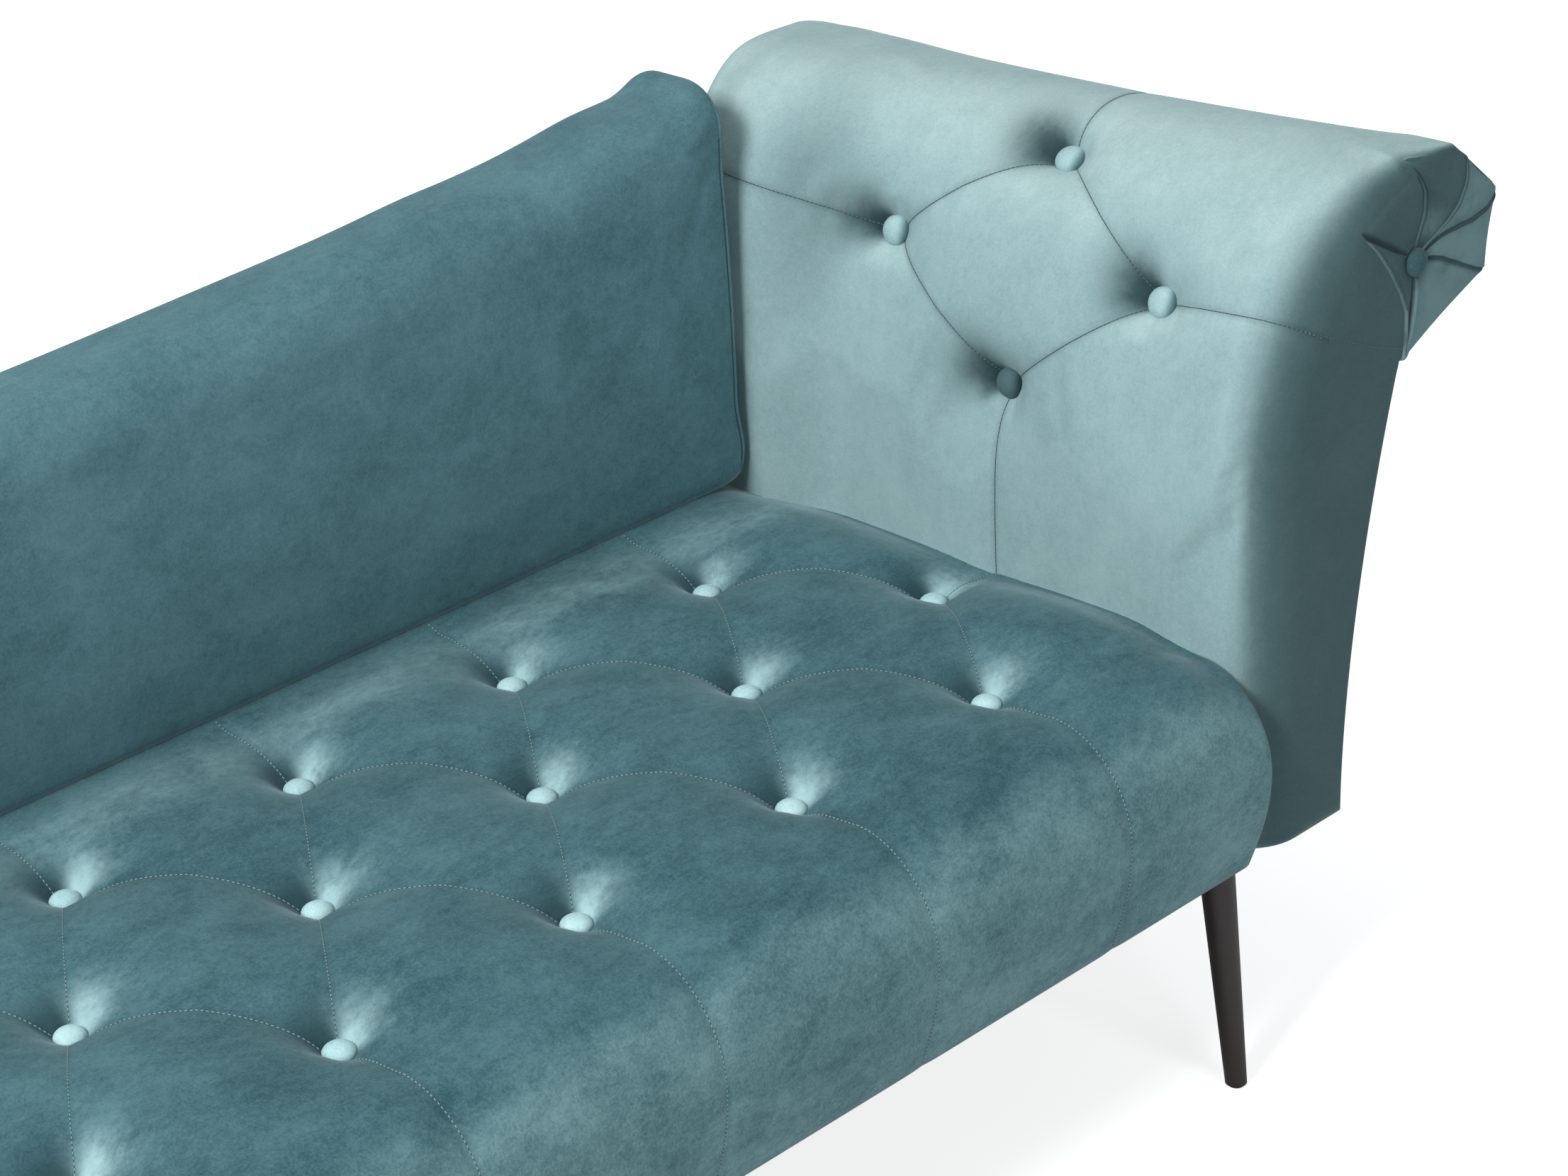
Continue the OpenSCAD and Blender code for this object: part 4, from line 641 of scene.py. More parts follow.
def make_scroll(name, y_end, facing, shift, scale, soft):
    inner = [p for p in arm_outline(Y_FRONT) if p[1] > 790 and p[0] < 700]
    roll_rim = rim_table([*inner, *SCROLL_CORNERS[2:]], True)
    lap_rim = rim_table(LAP_EDGE, False)
    share = np.concatenate([np.linspace(0.06, 0.9, RADIAL - 8), np.linspace(0.9, 1.0, 9)[1:]])
    button_x, button_z = SCROLL_BUTTON
    columns = scroll_columns()
    rows, creases, pale = [], [], []
    for k, t in columns:
        start, bow_a, lip = FOLDS[k]
        end, bow_b, _ = FOLDS[k + 1]
        at = start + (end - start) * t
        on_lap = k == LAP_PANEL
        full_rim = float(np.interp(at, *(lap_rim if on_lap else roll_rim)))
        dive = 0.0 if on_lap else float(np.interp(at, *RIM_DIVES))
        rim = full_rim * (1 - 0.12 * float(np.interp(at, *RIM_DRAWN)) * (not on_lap))
        radius = LAP_RADIUS if on_lap else min(soft, float(np.interp(at, *RIM_RADIUS)))
        bow_a, bow_b = (np.interp(share, FOLD_STOPS, bow) for bow in (bow_a, bow_b))
        turn = np.radians(at + ((1 - t) * bow_a + t * bow_b))
        rho = share * rim
        span = math.radians(abs(end - start))
        from_a, from_b = t * span * rho, (1 - t) * span * rho
        swell = 0.5 + 0.5 * np.sin(np.pi * np.clip(share, 0, 1))
        fade = smooth((1 - share) / 0.16) if k in SHORT_PANELS else np.ones(len(share))
        tight = 0.55 + 0.45 * share
        height = lip * fade * swell * bell(from_a - FOLD_AT * tight, FOLD_WIDE * tight)
        height = height - 1.1 * fade * bell(from_a, 0.9) * (lip > 0)
        line = bell(from_a - 1.1, 2.9, 3.0) * fade * (lip > 0)
        inward = full_rim - rho
        if k == NECK_PANEL:
            height = height + NECK_LIP * swell * bell(from_b - 3.6, 3.0)
            line = np.maximum(line, bell(from_b, 1.4))
        if on_lap:
            line = np.maximum(line, np.maximum(bell(from_a, 1.3), 0.8 * bell(inward, 5.0)))
            lift = LAP_LIFT + 1.2 * bell(inward - 3.5, 3.0) - 0.8 * smooth(inward / 30)
        else:
            low, high = 1.4 - 3.2 * dive, 3.2 - 1.4 * dive
            lift = low + (high - low) * smooth((rim - rho) / (24 + 8 * dive))
        sag = 1 - (0 if on_lap or dive > 0 else 0.02) * math.sin(math.pi * t) * share
        out = lift + height - DISH_DEEP * bell(rho, DISH_WIDE)
        y = y_end + facing * out - facing * quarter(radius, inward)
        x = button_x + shift + rho * sag * np.cos(turn) * scale[0]
        z = button_z + rho * sag * np.sin(turn) * scale[1]
        deep = LAP_SKIRT if on_lap else ROLL_SKIRT
        rows += [*zip(x, y, z), (x[-1], y[-1] - facing * 0.5 * deep, z[-1]),
                 ((x[-1] - button_x - shift) * 0.97 + button_x + shift, y[-2] - facing * deep,
                  (z[-1] - button_z) * 0.97 + button_z)]
        # Painted shade along the fold lines, round the button and on the tucked-in skirt.
        creases += [*np.maximum(line, 0.8 * bell(rho, 17.0)), 0.9, 0.9]
        # Painted highlight on the panel, strongest across the middle of its width and fading
        # towards the button; it goes into the pale attribute.
        glow = PANEL_HIGHLIGHT[k] * (0.62 + 0.38 * math.sin(math.pi * t)) * smooth(rho / 34.0)
        if k in SHORT_PANELS:
            glow = glow * (1 - smooth((share - 0.40) / 0.32))
        pale += [*glow, 0.0, 0.0]
    per, count = RADIAL + 2, len(columns)
    faces = grid_faces(count, per, rows_close=True)
    faces.append([c * per for c in range(count)])
    faces.append([c * per + per - 1 for c in range(count)][::-1])
    return outward(new_piece(name, rows, faces, {"crease": creases, "pale": pale}))


# Back: sections across it from the end beside the arm to the tail
X_BACK_R, X_BACK_L = X_ARM - 16.0, X_CREST + 12.0
BACK_CROWN, BACK_TOP_R, BACK_CORNER, BACK_TAIL_R = 7.0, 42.0, 38.0, 38.0
Z_BED = Z_PLANE + SEAT_CROWN - 6.0
X_DROP, X_DROP_END = -X_END + 425.0, X_BACK_L + BACK_TAIL_R
# Waves of its top edge: how high each one stands, its middle and its width
TOP_WAVES = [(-4.0, 375, 34.0), (-6.0, 405, 28.0), (4.0, 150, 80.0), (5.0, -500, 150.0)]


def back_top(x):
    """Height of the back's top edge."""
    sweep = np.clip((x - X_BACK_R) / 300.0 + 1, 0, 1)
    mid = np.clip((X_BACK_R - x) / (X_BACK_R - X_DROP), 0, 1)
    line = 862.0 - 40.0 * mid - 36.0 * (1 - sweep**1.5)
    t = np.clip((X_DROP - x) / (X_DROP - X_DROP_END), 0, 1)
    tail = Z_BED + 52.0
    top = tail + (line - tail) * (1 + np.cos(np.pi * t)) / 2
    for high, middle, width in TOP_WAVES:
        top = top + high * bell(x - middle, width)
    return top - quarter(BACK_CORNER, X_BACK_R - 5 - x) - quarter(BACK_TAIL_R, x - X_BACK_L)


# The right end: its welt lies END_SET from the end and END_IN behind the face
END_SET, END_IN, END_TURN = 15.0, 6.0, 22.0
WELT_IN = END_SET + 5.6
# Roundings of the section: at the tail, along the rear, under the face and behind the top
TAIL_ROUND, REAR_ROUND, FOOT_ROUND, TOP_REAR_R = 25.0, 10.0, 17.0, 30.0
WELT_HIGH = 1.8


def end_lean(x, z):
    """How far the right end leans away from the arm at a height."""
    rise = smooth((z - 480.0) / 60.0) * (1 - 0.5 * smooth((z - 760.0) / 60.0))
    return 9.0 * rise * smooth((x - X_BACK_R + 110.0) / 80.0)


def back_section(x):
    """Places across the back at one place along it, from the foot of its face round to the rear."""
    right, left = X_BACK_R - x, x - X_BACK_L
    turned = END_IN * max(0.0, min(1.0, (60.0 - right) / 45.0)) ** 2
    turned += END_TURN * max(0.0, 1 - right / END_SET)
    inset = float(quarter(TAIL_ROUND, left)) + turned
    y_face, y_rear = Y_BACK + inset, Y_REAR - float(quarter(REAR_ROUND, min(left, right)))
    welt = WELT_HIGH * float(bell(right - END_SET - 2.6, 2.0))
    top = float(back_top(x))
    low = Z_BED + 0.3 + float(quarter(FOOT_ROUND, max(right - END_SET + 2, 0.0))) * 0.9
    tall = top - low
    r1, r2 = min(BACK_TOP_R, 0.75 * tall), min(TOP_REAR_R, 0.75 * tall)
    crown = BACK_CROWN * max(0.0, 1 - inset / TAIL_ROUND)
    s = np.linspace(0, 1, 40)
    foot = 6.0 * np.exp(-s * tall / 16.0)
    y = y_face - crown * np.sin(np.pi * s) ** 0.8 + foot - welt
    face = np.stack([y, low + s * (tall - r1)], -1)
    a = np.radians(np.linspace(0, 90, 13)[1:])
    y = y_face + r1 * (1 - np.cos(a)) - welt * np.cos(a)
    edge = np.stack([y, top - r1 * (1 - np.sin(a))], -1)
    a = np.radians(np.linspace(0, 90, 11)[:-1])
    rear = np.stack([y_rear - r2 * (1 - np.sin(a)), top - r2 * (1 - np.cos(a))], -1)
    s = np.linspace(1, 0, 24)
    wall = np.stack([np.full_like(s, y_rear), low + s * (tall - r2)], -1)
    return np.concatenate([face, edge, rear, wall])


def make_back():
    near_end = [0, 0.4, 1.5, 3.2, 5.5, 8, 11, 13.5, 15, 16, 17, 18, 18.8, 19.6, 20.4, 21.2, 22,
                22.8, 23.6, 24.5, 26, 28.5, 32, 36, 41, 47, 54, 62]
    xs = [X_BACK_R - e for e in near_end]
    xs += list(np.linspace(xs[-1], X_BACK_L + BACK_TAIL_R, 140)[1:])
    xs += list(X_BACK_L + BACK_TAIL_R * (1 - np.sin(np.radians(np.linspace(0, 90, 12)[1:]))))
    rings = [back_section(x) for x in xs]
    count = len(rings[0])
    points = [(x - float(end_lean(x, z)), y, z) for x, ring in zip(xs, rings) for y, z in ring]
    faces = grid_faces(len(xs), count, cols_close=True)
    faces.append([*range(count)][::-1])
    faces.append([(len(xs) - 1) * count + j for j in range(count)])
    # Painted shade along the groove beside the welt.
    welt_shade = [float(bell(X_BACK_R - x - WELT_IN, 1.1)) * (j < 56) for x in xs for j in range(count)]
    back = outward(new_piece("back_upholstery", points, faces, {"crease": welt_shade}))
    where = points_of(back) / MM
    hold = np.zeros(len(where))
    hold[(where[:, 1] > Y_BACK + 45) | (where[:, 2] < Z_BED + 26)] = 1.0
    hold[(where[:, 0] > X_BACK_R - 30) | (where[:, 0] < X_BACK_L + 14)] = 1.0
    settle(back, hold, pressure=0.5, frames=12, cap=3.5)
    return back


# Panels on the outside of the arm and the rear of the back, each a plump cloth-covered board
def make_outer_panel():
    s = lines(S_LIP + LIP + 1.5, 26, S_NECK, 60, S_END - 2)
    ys = lines(Y_FRONT + 14, 100, Y_ARM_REAR - 14)
    outer, inner = [], []
    for y in ys:
        x, z = read_path(arm_outline(y), np.interp(s, mid_run, np.arange(len(mid_run))))
        nx, nz = square_to(np.gradient(x), np.gradient(z))
        rim = np.minimum(np.minimum(y - ys[0], ys[-1] - y), np.minimum(s - s[0], s[-1] - s))
        d = quarter(3.2, rim) - 0.8 * smooth(rim / 60)
        outer.append(np.stack([x + nx * d, np.full_like(s, y), z + nz * d], -1))
        inner.append(np.stack([x + nx * 4.6, np.full_like(s, y), z + nz * 4.6], -1))
    ns, ny = len(s), len(ys)
    points = np.concatenate([np.stack(outer, 1).reshape(-1, 3), np.stack(inner, 1).reshape(-1, 3)])
    return shell_piece("arm_outside_velvet", points, ns, ny)


def make_rear_panel():
    xs, shares = lines(X_BACK_R - 16, 170, X_BACK_L + 16), np.linspace(0, 1, 60)
    outer, inner = [], []
    for x in xs:
        top = float(back_top(x)) - 28
        low = Z_BED + 2
        z = low + shares * (top - low)
        rim = np.minimum(np.minimum(xs[0] - x, x - xs[-1]), np.minimum(z - low, top - z))
        d = quarter(3.5, rim)
        y = Y_REAR + 0.4 + 0.8 * smooth(rim / 60) - d
        outer.append(np.stack([np.full_like(z, x), y, z], -1))
        inner.append(np.stack([np.full_like(z, x), np.full_like(z, Y_REAR - 4), z], -1))
    points = np.concatenate([np.concatenate(outer), np.concatenate(inner)])
    return shell_piece("back_rear_velvet", points, len(xs), len(shares))


def shell_piece(name, points, rows, cols):
    """A closed sheet from two grids of points that share their outline."""
    half = rows * cols
    outer = grid_faces(rows, cols)
    faces = outer + [tuple(v + half for v in (face[0], *face[:0:-1])) for face in outer]
    rim = [*range(cols)] + [i * cols + cols - 1 for i in range(1, rows)]
    rim += [(rows - 1) * cols + j for j in range(cols - 2, -1, -1)]
    rim += [i * cols for i in range(rows - 2, 0, -1)]
    faces += [(a, a + half, b + half, b) for a, b in zip(rim, rim[1:] + rim[:1])]
    return outward(new_piece(name, points, faces))


seat = make_seat()
arm = make_arm()
back = make_back()
scroll_front = make_scroll("scroll_pleats_front", Y_FRONT, -1, 0.0, (1.0, 1.0), SOFT_FRONT - 1.5)
scroll_rear = make_scroll("scroll_pleats_rear", Y_ARM_REAR, 1, -ARM_TAPER, (0.93, 0.98), 8.0)
outer_panel = make_outer_panel()
rear_panel = make_rear_panel()


# Node trees, for what repeats and for the finishes
class Wire:
    """A socket of a node tree that can stand in a sum."""

    def __init__(self, owner, socket):
        self.owner, self.socket = owner, socket

    def maths(self, operation, *values):
        return self.owner.node("ShaderNodeMath", {"operation": operation}, dict(enumerate(values)))

    def __add__(self, other):
        return self.maths("ADD", self, other)

    def __sub__(self, other):
        return self.maths("SUBTRACT", self, other)

    def __rsub__(self, other):
        return self.maths("SUBTRACT", other, self)

    def __mul__(self, other):
        return self.maths("MULTIPLY", self, other)

    __radd__, __rmul__ = __add__, __mul__


class Nodes:
    """A node tree, written from its source to its result."""

    def __init__(self, tree):
        self.tree = tree
        tree.nodes.clear()

    def feed(self, socket, value):
        if isinstance(value, (Wire, list)):
            for wire in value if isinstance(value, list) else [value]:
                self.tree.links.new(wire.socket, socket)
        else:
            socket.default_value = value

    def node(self, kind, settings=None, inputs=None, out=0):
        """A node of one kind, with its settings, a ramp's stops among them, and its inputs."""
        made = self.tree.nodes.new(kind)
        for key, value in (settings or {}).items():
            if key == "stops":
                for stop, place in zip(made.color_ramp.elements, value):
                    stop.position = place
            else:
                setattr(made, key, value)
        for key, value in (inputs or {}).items():
            self.feed(made.inputs[key], value)
        return Wire(self, made.outputs[out]) if len(made.outputs) else None

    def parts(self, vector):
        """The x, y and z of a vector."""
        split = self.node("ShaderNodeSeparateXYZ", None, {0: vector}).socket.node
        return [Wire(self, socket) for socket in split.outputs]


class NodeRun(Nodes):
    """A geometry node tree with named inputs."""

    def __init__(self, name, inputs):
        super().__init__(bpy.data.node_groups.new(name, "GeometryNodeTree"))
        face = self.tree.interface
        face.new_socket("Geometry", in_out="INPUT", socket_type="NodeSocketGeometry")
        self.ids = {}
        for label, kind, value in inputs:
            socket = face.new_socket(label, in_out="INPUT", socket_type="NodeSocket" + kind)
            if value is not None:
                socket.default_value = value
            self.ids[label] = socket.identifier
        face.new_socket("Geometry", in_out="OUTPUT", socket_type="NodeSocketGeometry")
        self.source = self.node("NodeGroupInput").socket.node

    def given(self, label):
        return Wire(self, self.source.outputs[label])

    def copies(self, points, shape, facing, size=(1.0, 1.0, 1.0)):
        """Smooth copies of a shape on points, each turned with its z axis along facing."""
        turn = self.node("FunctionNodeAlignRotationToVector", {"axis": "Z"}, {"Vector": facing})
        many = self.node("GeometryNodeInstanceOnPoints", None,
                         {"Points": points, "Instance": shape, "Rotation": turn, "Scale": size})
        solid = self.node("GeometryNodeRealizeInstances", None, {"Geometry": many})
        return self.node("GeometryNodeSetShadeSmooth", None, {0: solid})

    def coat(self, geometry, label):
        given = {"Geometry": geometry, "Material": self.given(label)}
        return self.node("GeometryNodeSetMaterial", None, given)

    def end(self, geometry):
        self.node("NodeGroupOutput", None, {0: geometry})
        return self


def run_nodes(piece, run, values):
    """Runs a tree on a piece and keeps the plain mesh that it makes."""
    modifier = piece.modifiers.new("run", "NODES")
    modifier.node_group = run.tree
    for label, value in values.items():
        modifier[run.ids[label]] = value
    shape = piece.evaluated_get(bpy.context.evaluated_depsgraph_get())
    mesh = bpy.data.meshes.new_from_object(shape)
    piece.modifiers.remove(modifier)
    old = piece.data
    piece.data = mesh
    mesh.name = piece.name
    bpy.data.meshes.remove(old)
    return piece


def button_nodes():
    run = NodeRun("covered_buttons", [
        ("Diameter", "Float", 0.025),
        ("Height", "Float", 0.007),
        ("Material", "Material", None),
    ])
    ball = run.node("GeometryNodeMeshUVSphere", None, {"Segments": 32, "Rings": 18, "Radius": 1.0})
    x, y, z = run.parts(run.node("GeometryNodeInputPosition"))
    radius = run.given("Diameter") * 0.5
    tall = z.maths("MAXIMUM", z, -0.45) * run.given("Height")
    spot = run.node("ShaderNodeCombineXYZ", None, {0: x * radius, 1: y * radius, 2: tall})
    dome = run.node("GeometryNodeSetPosition", None, {"Geometry": ball, "Position": spot})
    named = {"data_type": "FLOAT_VECTOR"}
    facing = run.node("GeometryNodeInputNamedAttribute", named, {"Name": "facing"})
    return run.end(run.coat(run.copies(run.given("Geometry"), dome, facing), "Material"))


def stitch_nodes():
    run = NodeRun("stitched_seam", [
        ("Pitch", "Float", 0.0042),
        ("Stitch", "Float", 0.0034),
        ("Thread", "Float", 0.0007),
        ("Shade Line Radius", "Float", 0.0005),
        ("Material", "Material", None),
        ("Shade Line Material", "Material", None),
    ])
    curve = run.node("GeometryNodeMeshToCurve", None, {"Mesh": run.given("Geometry")})
    even = run.node("GeometryNodeResampleCurve", {"mode": "LENGTH"},
                    {"Curve": curve, "Length": run.given("Pitch")})
    bead = run.node("GeometryNodeMeshUVSphere", None, {"Segments": 6, "Rings": 4, "Radius": 0.5})
    thick = run.given("Thread")
    size = run.node("ShaderNodeCombineXYZ", None, {0: thick, 1: thick, 2: run.given("Stitch")})
    beads = run.copies(even, bead, run.node("GeometryNodeInputTangent"), size)
    # A thin dark tube along the seam, painted shade standing in for the shadow of the seam's
    # groove.
    ring = run.node("GeometryNodeCurvePrimitiveCircle", None,
                    {"Resolution": 5, "Radius": run.given("Shade Line Radius")})
    tube = run.node("GeometryNodeCurveToMesh", None,
                    {"Curve": curve, "Profile Curve": ring, "Fill Caps": True})
    layers = [run.coat(beads, "Material"), run.coat(tube, "Shade Line Material")]
    both = run.node("GeometryNodeJoinGeometry", None, {0: layers})
    return run.end(run.node("GeometryNodeRealizeInstances", None, {"Geometry": both}))


def tree_of(piece):
    b = bmesh.new()
    b.from_mesh(piece.data)
    found = BVHTree.FromBMesh(b)
    b.free()
    return found


def laid(tree, starts, way, lift=0.0002):
    """Spots just off a piece where rays from places in millimetres first meet it."""
    way = Vector(way)
    spots = [tree.ray_cast(Vector(start) * MM, way)[0] for start in starts]
    return [spot - way * lift for spot in spots if spot is not None]


def run_of_points(name, runs):
    """A mesh of open lines, one for each run of points in metres."""
    points, edges = [], []
    for line in runs:
        first = len(points)
        points += [tuple(p) for p in line]
        edges += [(first + k, first + k + 1) for k in range(len(line) - 1)]
    mesh = bpy.data.meshes.new(name)
    mesh.from_pydata(points, edges, [])
    return add_object(name, mesh)


def button_points(name, places):
    piece = run_of_points(name, [[spot] for spot, _ in places])
    layer = piece.data.attributes.new("facing", "FLOAT_VECTOR", "POINT")
    layer.data.foreach_set("vector", np.array([tuple(n) for _, n in places], np.float32).ravel())
    return piece


# Finishes
class Finish(Nodes):
    """A material and the nodes that make it."""

    def __init__(self, name, **constants):
        self.material = bpy.data.materials.new(name)
        self.material.use_nodes = True
        super().__init__(self.material.node_tree)
        skin = self.node("ShaderNodeBsdfPrincipled")
        self.skin = skin.socket.node
        for key, value in constants.items():
            label = key.replace("_", " ").title().replace("Ior", "IOR")
            self.skin.inputs[label].default_value = value
        self.node("ShaderNodeOutputMaterial", None, {0: skin})

    def place(self, scale=(1, 1, 1), turn=(0, 0, 0)):
        where = self.node("ShaderNodeTexCoord", None, None, "Object")
        given = {"Vector": where, "Scale": scale, "Rotation": turn}
        return self.node("ShaderNodeMapping", None, given)

    def noise(self, scale, detail=3.0, rough=0.55, where=None, bend=0.0):
        given = {"Scale": scale, "Detail": detail, "Roughness": rough, "Distortion": bend}
        given["Vector"] = where or self.place()
        return self.node("ShaderNodeTexNoise", None, given)

    def ramp(self, value, low, high):
        """A grey that is black up to low, white from high, and runs straight between."""
        return self.node("ShaderNodeValToRGB", {"stops": (low, high)}, {"Fac": value})

    def blend(self, share, low, high, how="MIX"):
        inputs = {0: share, 6: low, 7: high}
        return self.node("ShaderNodeMix", {"data_type": "RGBA", "blend_type": how}, inputs, 2)

    def read(self, name):
        return self.node("ShaderNodeAttribute", {"attribute_name": name}, None, "Fac")

    def ease(self, value, low, high):
        """0 below low, 1 above high, and a smooth rise between them."""
        inputs = {0: value, 1: low, 2: high, 3: 0.0, 4: 1.0}
        return self.node("ShaderNodeMapRange", {"interpolation_type": "SMOOTHSTEP"}, inputs)

    def bump(self, height, strength, distance, under=None):
        given = {"Height": height, "Strength": strength, "Distance": distance}
        if under:
            given["Normal"] = under
        return self.node("ShaderNodeBump", None, given)

    def wear(self, **varying):
        for key, value in varying.items():
            self.feed(self.skin.inputs[key.replace("_", " ").title()], value)
        return self.material


def rgb(r, g, b):
    """A colour from its 0 to 255 values, as the shader takes it."""
    parts = [c / 255 for c in (r, g, b)]
    parts = [c / 12.92 if c <= 0.04045 else ((c + 0.055) / 1.055) ** 2.4 for c in parts]
    return (*parts, 1.0)


def darker(colour, share):
    return (*(c * share for c in colour[:3]), 1.0)


def velvet(name, deep, pale, highlight_colour, shade, highlight_share=0.6, shade_share=0.8, painted_crease_shade=0.5, painted_by_facing=(),
           low_dark=0.0):
    """Brushed velvet. Round the buttons it takes a painted highlight on one side and painted shade
    on the other, each tone is a direction whose faces take the colour times a factor, painted
    light where it brightens and painted shade where it darkens, creases take painted shade, and
    what lies lower than low_dark, in metres, is darker."""
    f = Finish(name, sheen_weight=0.25, sheen_roughness=0.40, sheen_tint=rgb(190, 214, 216),
               specular_ior_level=0.08)
    cloud = f.noise(7.0, 3.0, 0.6, bend=0.6)
    blotch = f.noise(24.0, 6.0, 0.68, f.place((0.7, 1.0, 0.9)), 0.4)
    brush = f.noise(85.0, 4.0, 0.7, f.place((0.4, 1.0, 0.8), (0.0, 0.0, 0.3)), 0.2)
    speck = f.noise(420.0, 3.0, 0.7)
    grain = f.noise(1500.0, 2.0, 0.7)
    fleck = f.noise(130.0, 4.0, 0.7, f.place((0.8, 1.0, 0.9)))
    tone = cloud * 0.20 + blotch * 0.20 + fleck * 0.16 + brush * 0.06 + speck * 0.24 + grain * 0.14
    colour = f.blend(f.ramp(tone, 0.42, 0.58), deep, pale)
    normal = f.node("ShaderNodeNewGeometry", None, None, "Normal")
    # Painted light and shade by facing: faces turned the given way take the colour times the
    # factor.
    for way, low, high, factor in painted_by_facing:
        both = {0: normal, 1: way}
        facing = f.node("ShaderNodeVectorMath", {"operation": "DOT_PRODUCT"}, both, "Value")
        facing = f.ease(facing + (blotch - 0.5) * 0.3, low, high)
        colour = f.blend(facing, colour, (*factor, 1.0), "MULTIPLY")
    if low_dark:
        low = 1.0 - f.ease(f.parts(f.place())[2], low_dark - 0.02, low_dark + 0.02)
        colour = f.blend(low, colour, (0.24, 0.29, 0.30, 1.0), "MULTIPLY")
    ragged = (blotch - 0.5) * 0.9 + (fleck - 0.5) * 0.5
    # Painted highlight on one side of each button's pit and painted shade on the other.
    highlight_side, shade_side = f.read("pale"), f.read("dark")
    up = f.ease(highlight_side * (1.0 + ragged * 1.4), 0.08, 0.92)
    down = f.ease(shade_side * (1.0 + ragged * 0.8), 0.05, 0.72)
    colour = f.blend(up * highlight_share, colour, highlight_colour)
    colour = f.blend(down * shade_share, colour, shade)
    # Painted shade in the creases of seams, welts and folds.
    colour = f.blend(f.read("crease") * painted_crease_shade, colour, (0.30, 0.33, 0.35, 1.0), "MULTIPLY")
    soft = f.bump(blotch * 0.7 + brush * 0.3, 0.16, 0.0016)
    pile = f.bump(grain * 0.6 + speck * 0.4, 0.35, 0.0006, soft)
    return f.wear(base_color=colour, roughness=0.78 + 0.16 * grain, normal=pile)


# Painted light and shade by facing: the arm's front faces darkened and its top lightened, the
# seat's front faces lightened, the arm buttons' front faces darkened.
TO_FRONT, TO_TOP = (0.0, -1.0, 0.0), (0.0, 0.0, 1.0)
ARM_FACING_LIGHT_SHADE = [(TO_FRONT, 0.06, 0.92, (0.21, 0.26, 0.27)), (TO_TOP, 0.35, 0.95, (1.3, 1.22, 1.2))]
SEAT_SHADE, ARM_SHADE = rgb(34, 58, 65), rgb(40, 60, 64)
SEAT_FACING_LIGHT = [(TO_FRONT, 0.45, 0.95, (1.9, 1.6, 1.5))]
BUTTON_FACING_SHADE = [(TO_FRONT, 0.30, 0.95, (0.30, 0.36, 0.37))]
# The same teal velvet in lit and shaded copies: painted light makes the arm's, the scroll's, the
# arm buttons' and the seat buttons' copies paler, and painted shade makes the seat's, the back's
# and the scroll buttons' copies deeper.
ARM_DEEP, ARM_PALE = rgb(129, 157, 159), rgb(148, 174, 176)
velvet_seat = velvet("velvet_seat", rgb(46, 78, 86), rgb(80, 115, 122), rgb(188, 223, 226),
                     SEAT_SHADE, 0.58, 0.85, 0.15, SEAT_FACING_LIGHT)
velvet_arm = velvet("velvet_arm", ARM_DEEP, ARM_PALE, rgb(186, 212, 214),
                    ARM_SHADE, 0.30, 0.95, 0.35, ARM_FACING_LIGHT_SHADE)
velvet_scroll = velvet("velvet_scroll", ARM_DEEP, ARM_PALE, rgb(152, 192, 196),
                       ARM_SHADE, 0.30, 0.95, 1.0, ARM_FACING_LIGHT_SHADE)
velvet_back = velvet("velvet_back", rgb(66, 100, 108), rgb(92, 128, 136), rgb(120, 156, 160),
                     SEAT_SHADE)
velvet_button = velvet("velvet_seat_buttons", rgb(150, 186, 190), rgb(182, 214, 217),
                       rgb(210, 236, 236), SEAT_SHADE)
velvet_arm_button = velvet("velvet_arm_buttons", rgb(138, 168, 171), rgb(160, 189, 192),
                           rgb(196, 220, 222), ARM_SHADE, painted_by_facing=BUTTON_FACING_SHADE, low_dark=0.65)
velvet_dark_button = velvet("velvet_scroll_buttons", rgb(50, 75, 79), rgb(70, 98, 102),
                            rgb(90, 122, 126), ARM_SHADE)


def thread(name, colour, pale):
    f = Finish(name, sheen_weight=0.2, specular_ior_level=0.3)
    twist = f.noise(2400.0, 2.0, 0.5)
    tint = f.blend(twist, colour, pale)
    return f.wear(base_color=tint, roughness=0.45 + 0.3 * twist, normal=f.bump(twist, 0.4, 0.0002))


thread_pale = thread("thread_seat", rgb(94, 131, 137), rgb(124, 160, 165))
thread_dark = thread("thread_arm", rgb(52, 84, 90), rgb(84, 120, 126))
# Painted shade: the colour of the dark line along each seam.
shade_line_finish = thread("seam_furrow", rgb(20, 38, 44), rgb(34, 58, 64))


def leg_lacquer():
    f = Finish("leg_lacquer", specular_ior_level=0.5, coat_roughness=0.25)
    grain = f.noise(40.0, 4.0, 0.6, f.place((6.0, 6.0, 0.5)), 0.5)
    fine = f.noise(420.0, 2.0)
    tint = f.blend(grain, rgb(17, 15, 15), rgb(34, 29, 27))
    tint = f.blend(fine * 0.12, tint, rgb(70, 52, 42))
    relief = f.bump(grain + fine * 0.5, 0.12, 0.0004)
    return f.wear(base_color=tint, roughness=0.34 + 0.16 * fine, normal=relief)


def timber(name, pale, dark):
    f = Finish(name, specular_ior_level=0.3)
    rings = f.noise(26.0, 5.0, 0.65, f.place((0.25, 2.6, 2.6)), 1.6)
    pores = f.noise(520.0, 2.0, 0.5, f.place((0.12, 1.0, 1.0)))
    tint = f.blend(rings, pale, dark)
    tint = f.blend(pores * 0.35, tint, darker(dark, 0.45))
    relief = f.bump(rings * 0.6 + pores, 0.35, 0.0005)
    return f.wear(base_color=tint, roughness=0.6 + 0.25 * pores, normal=relief)


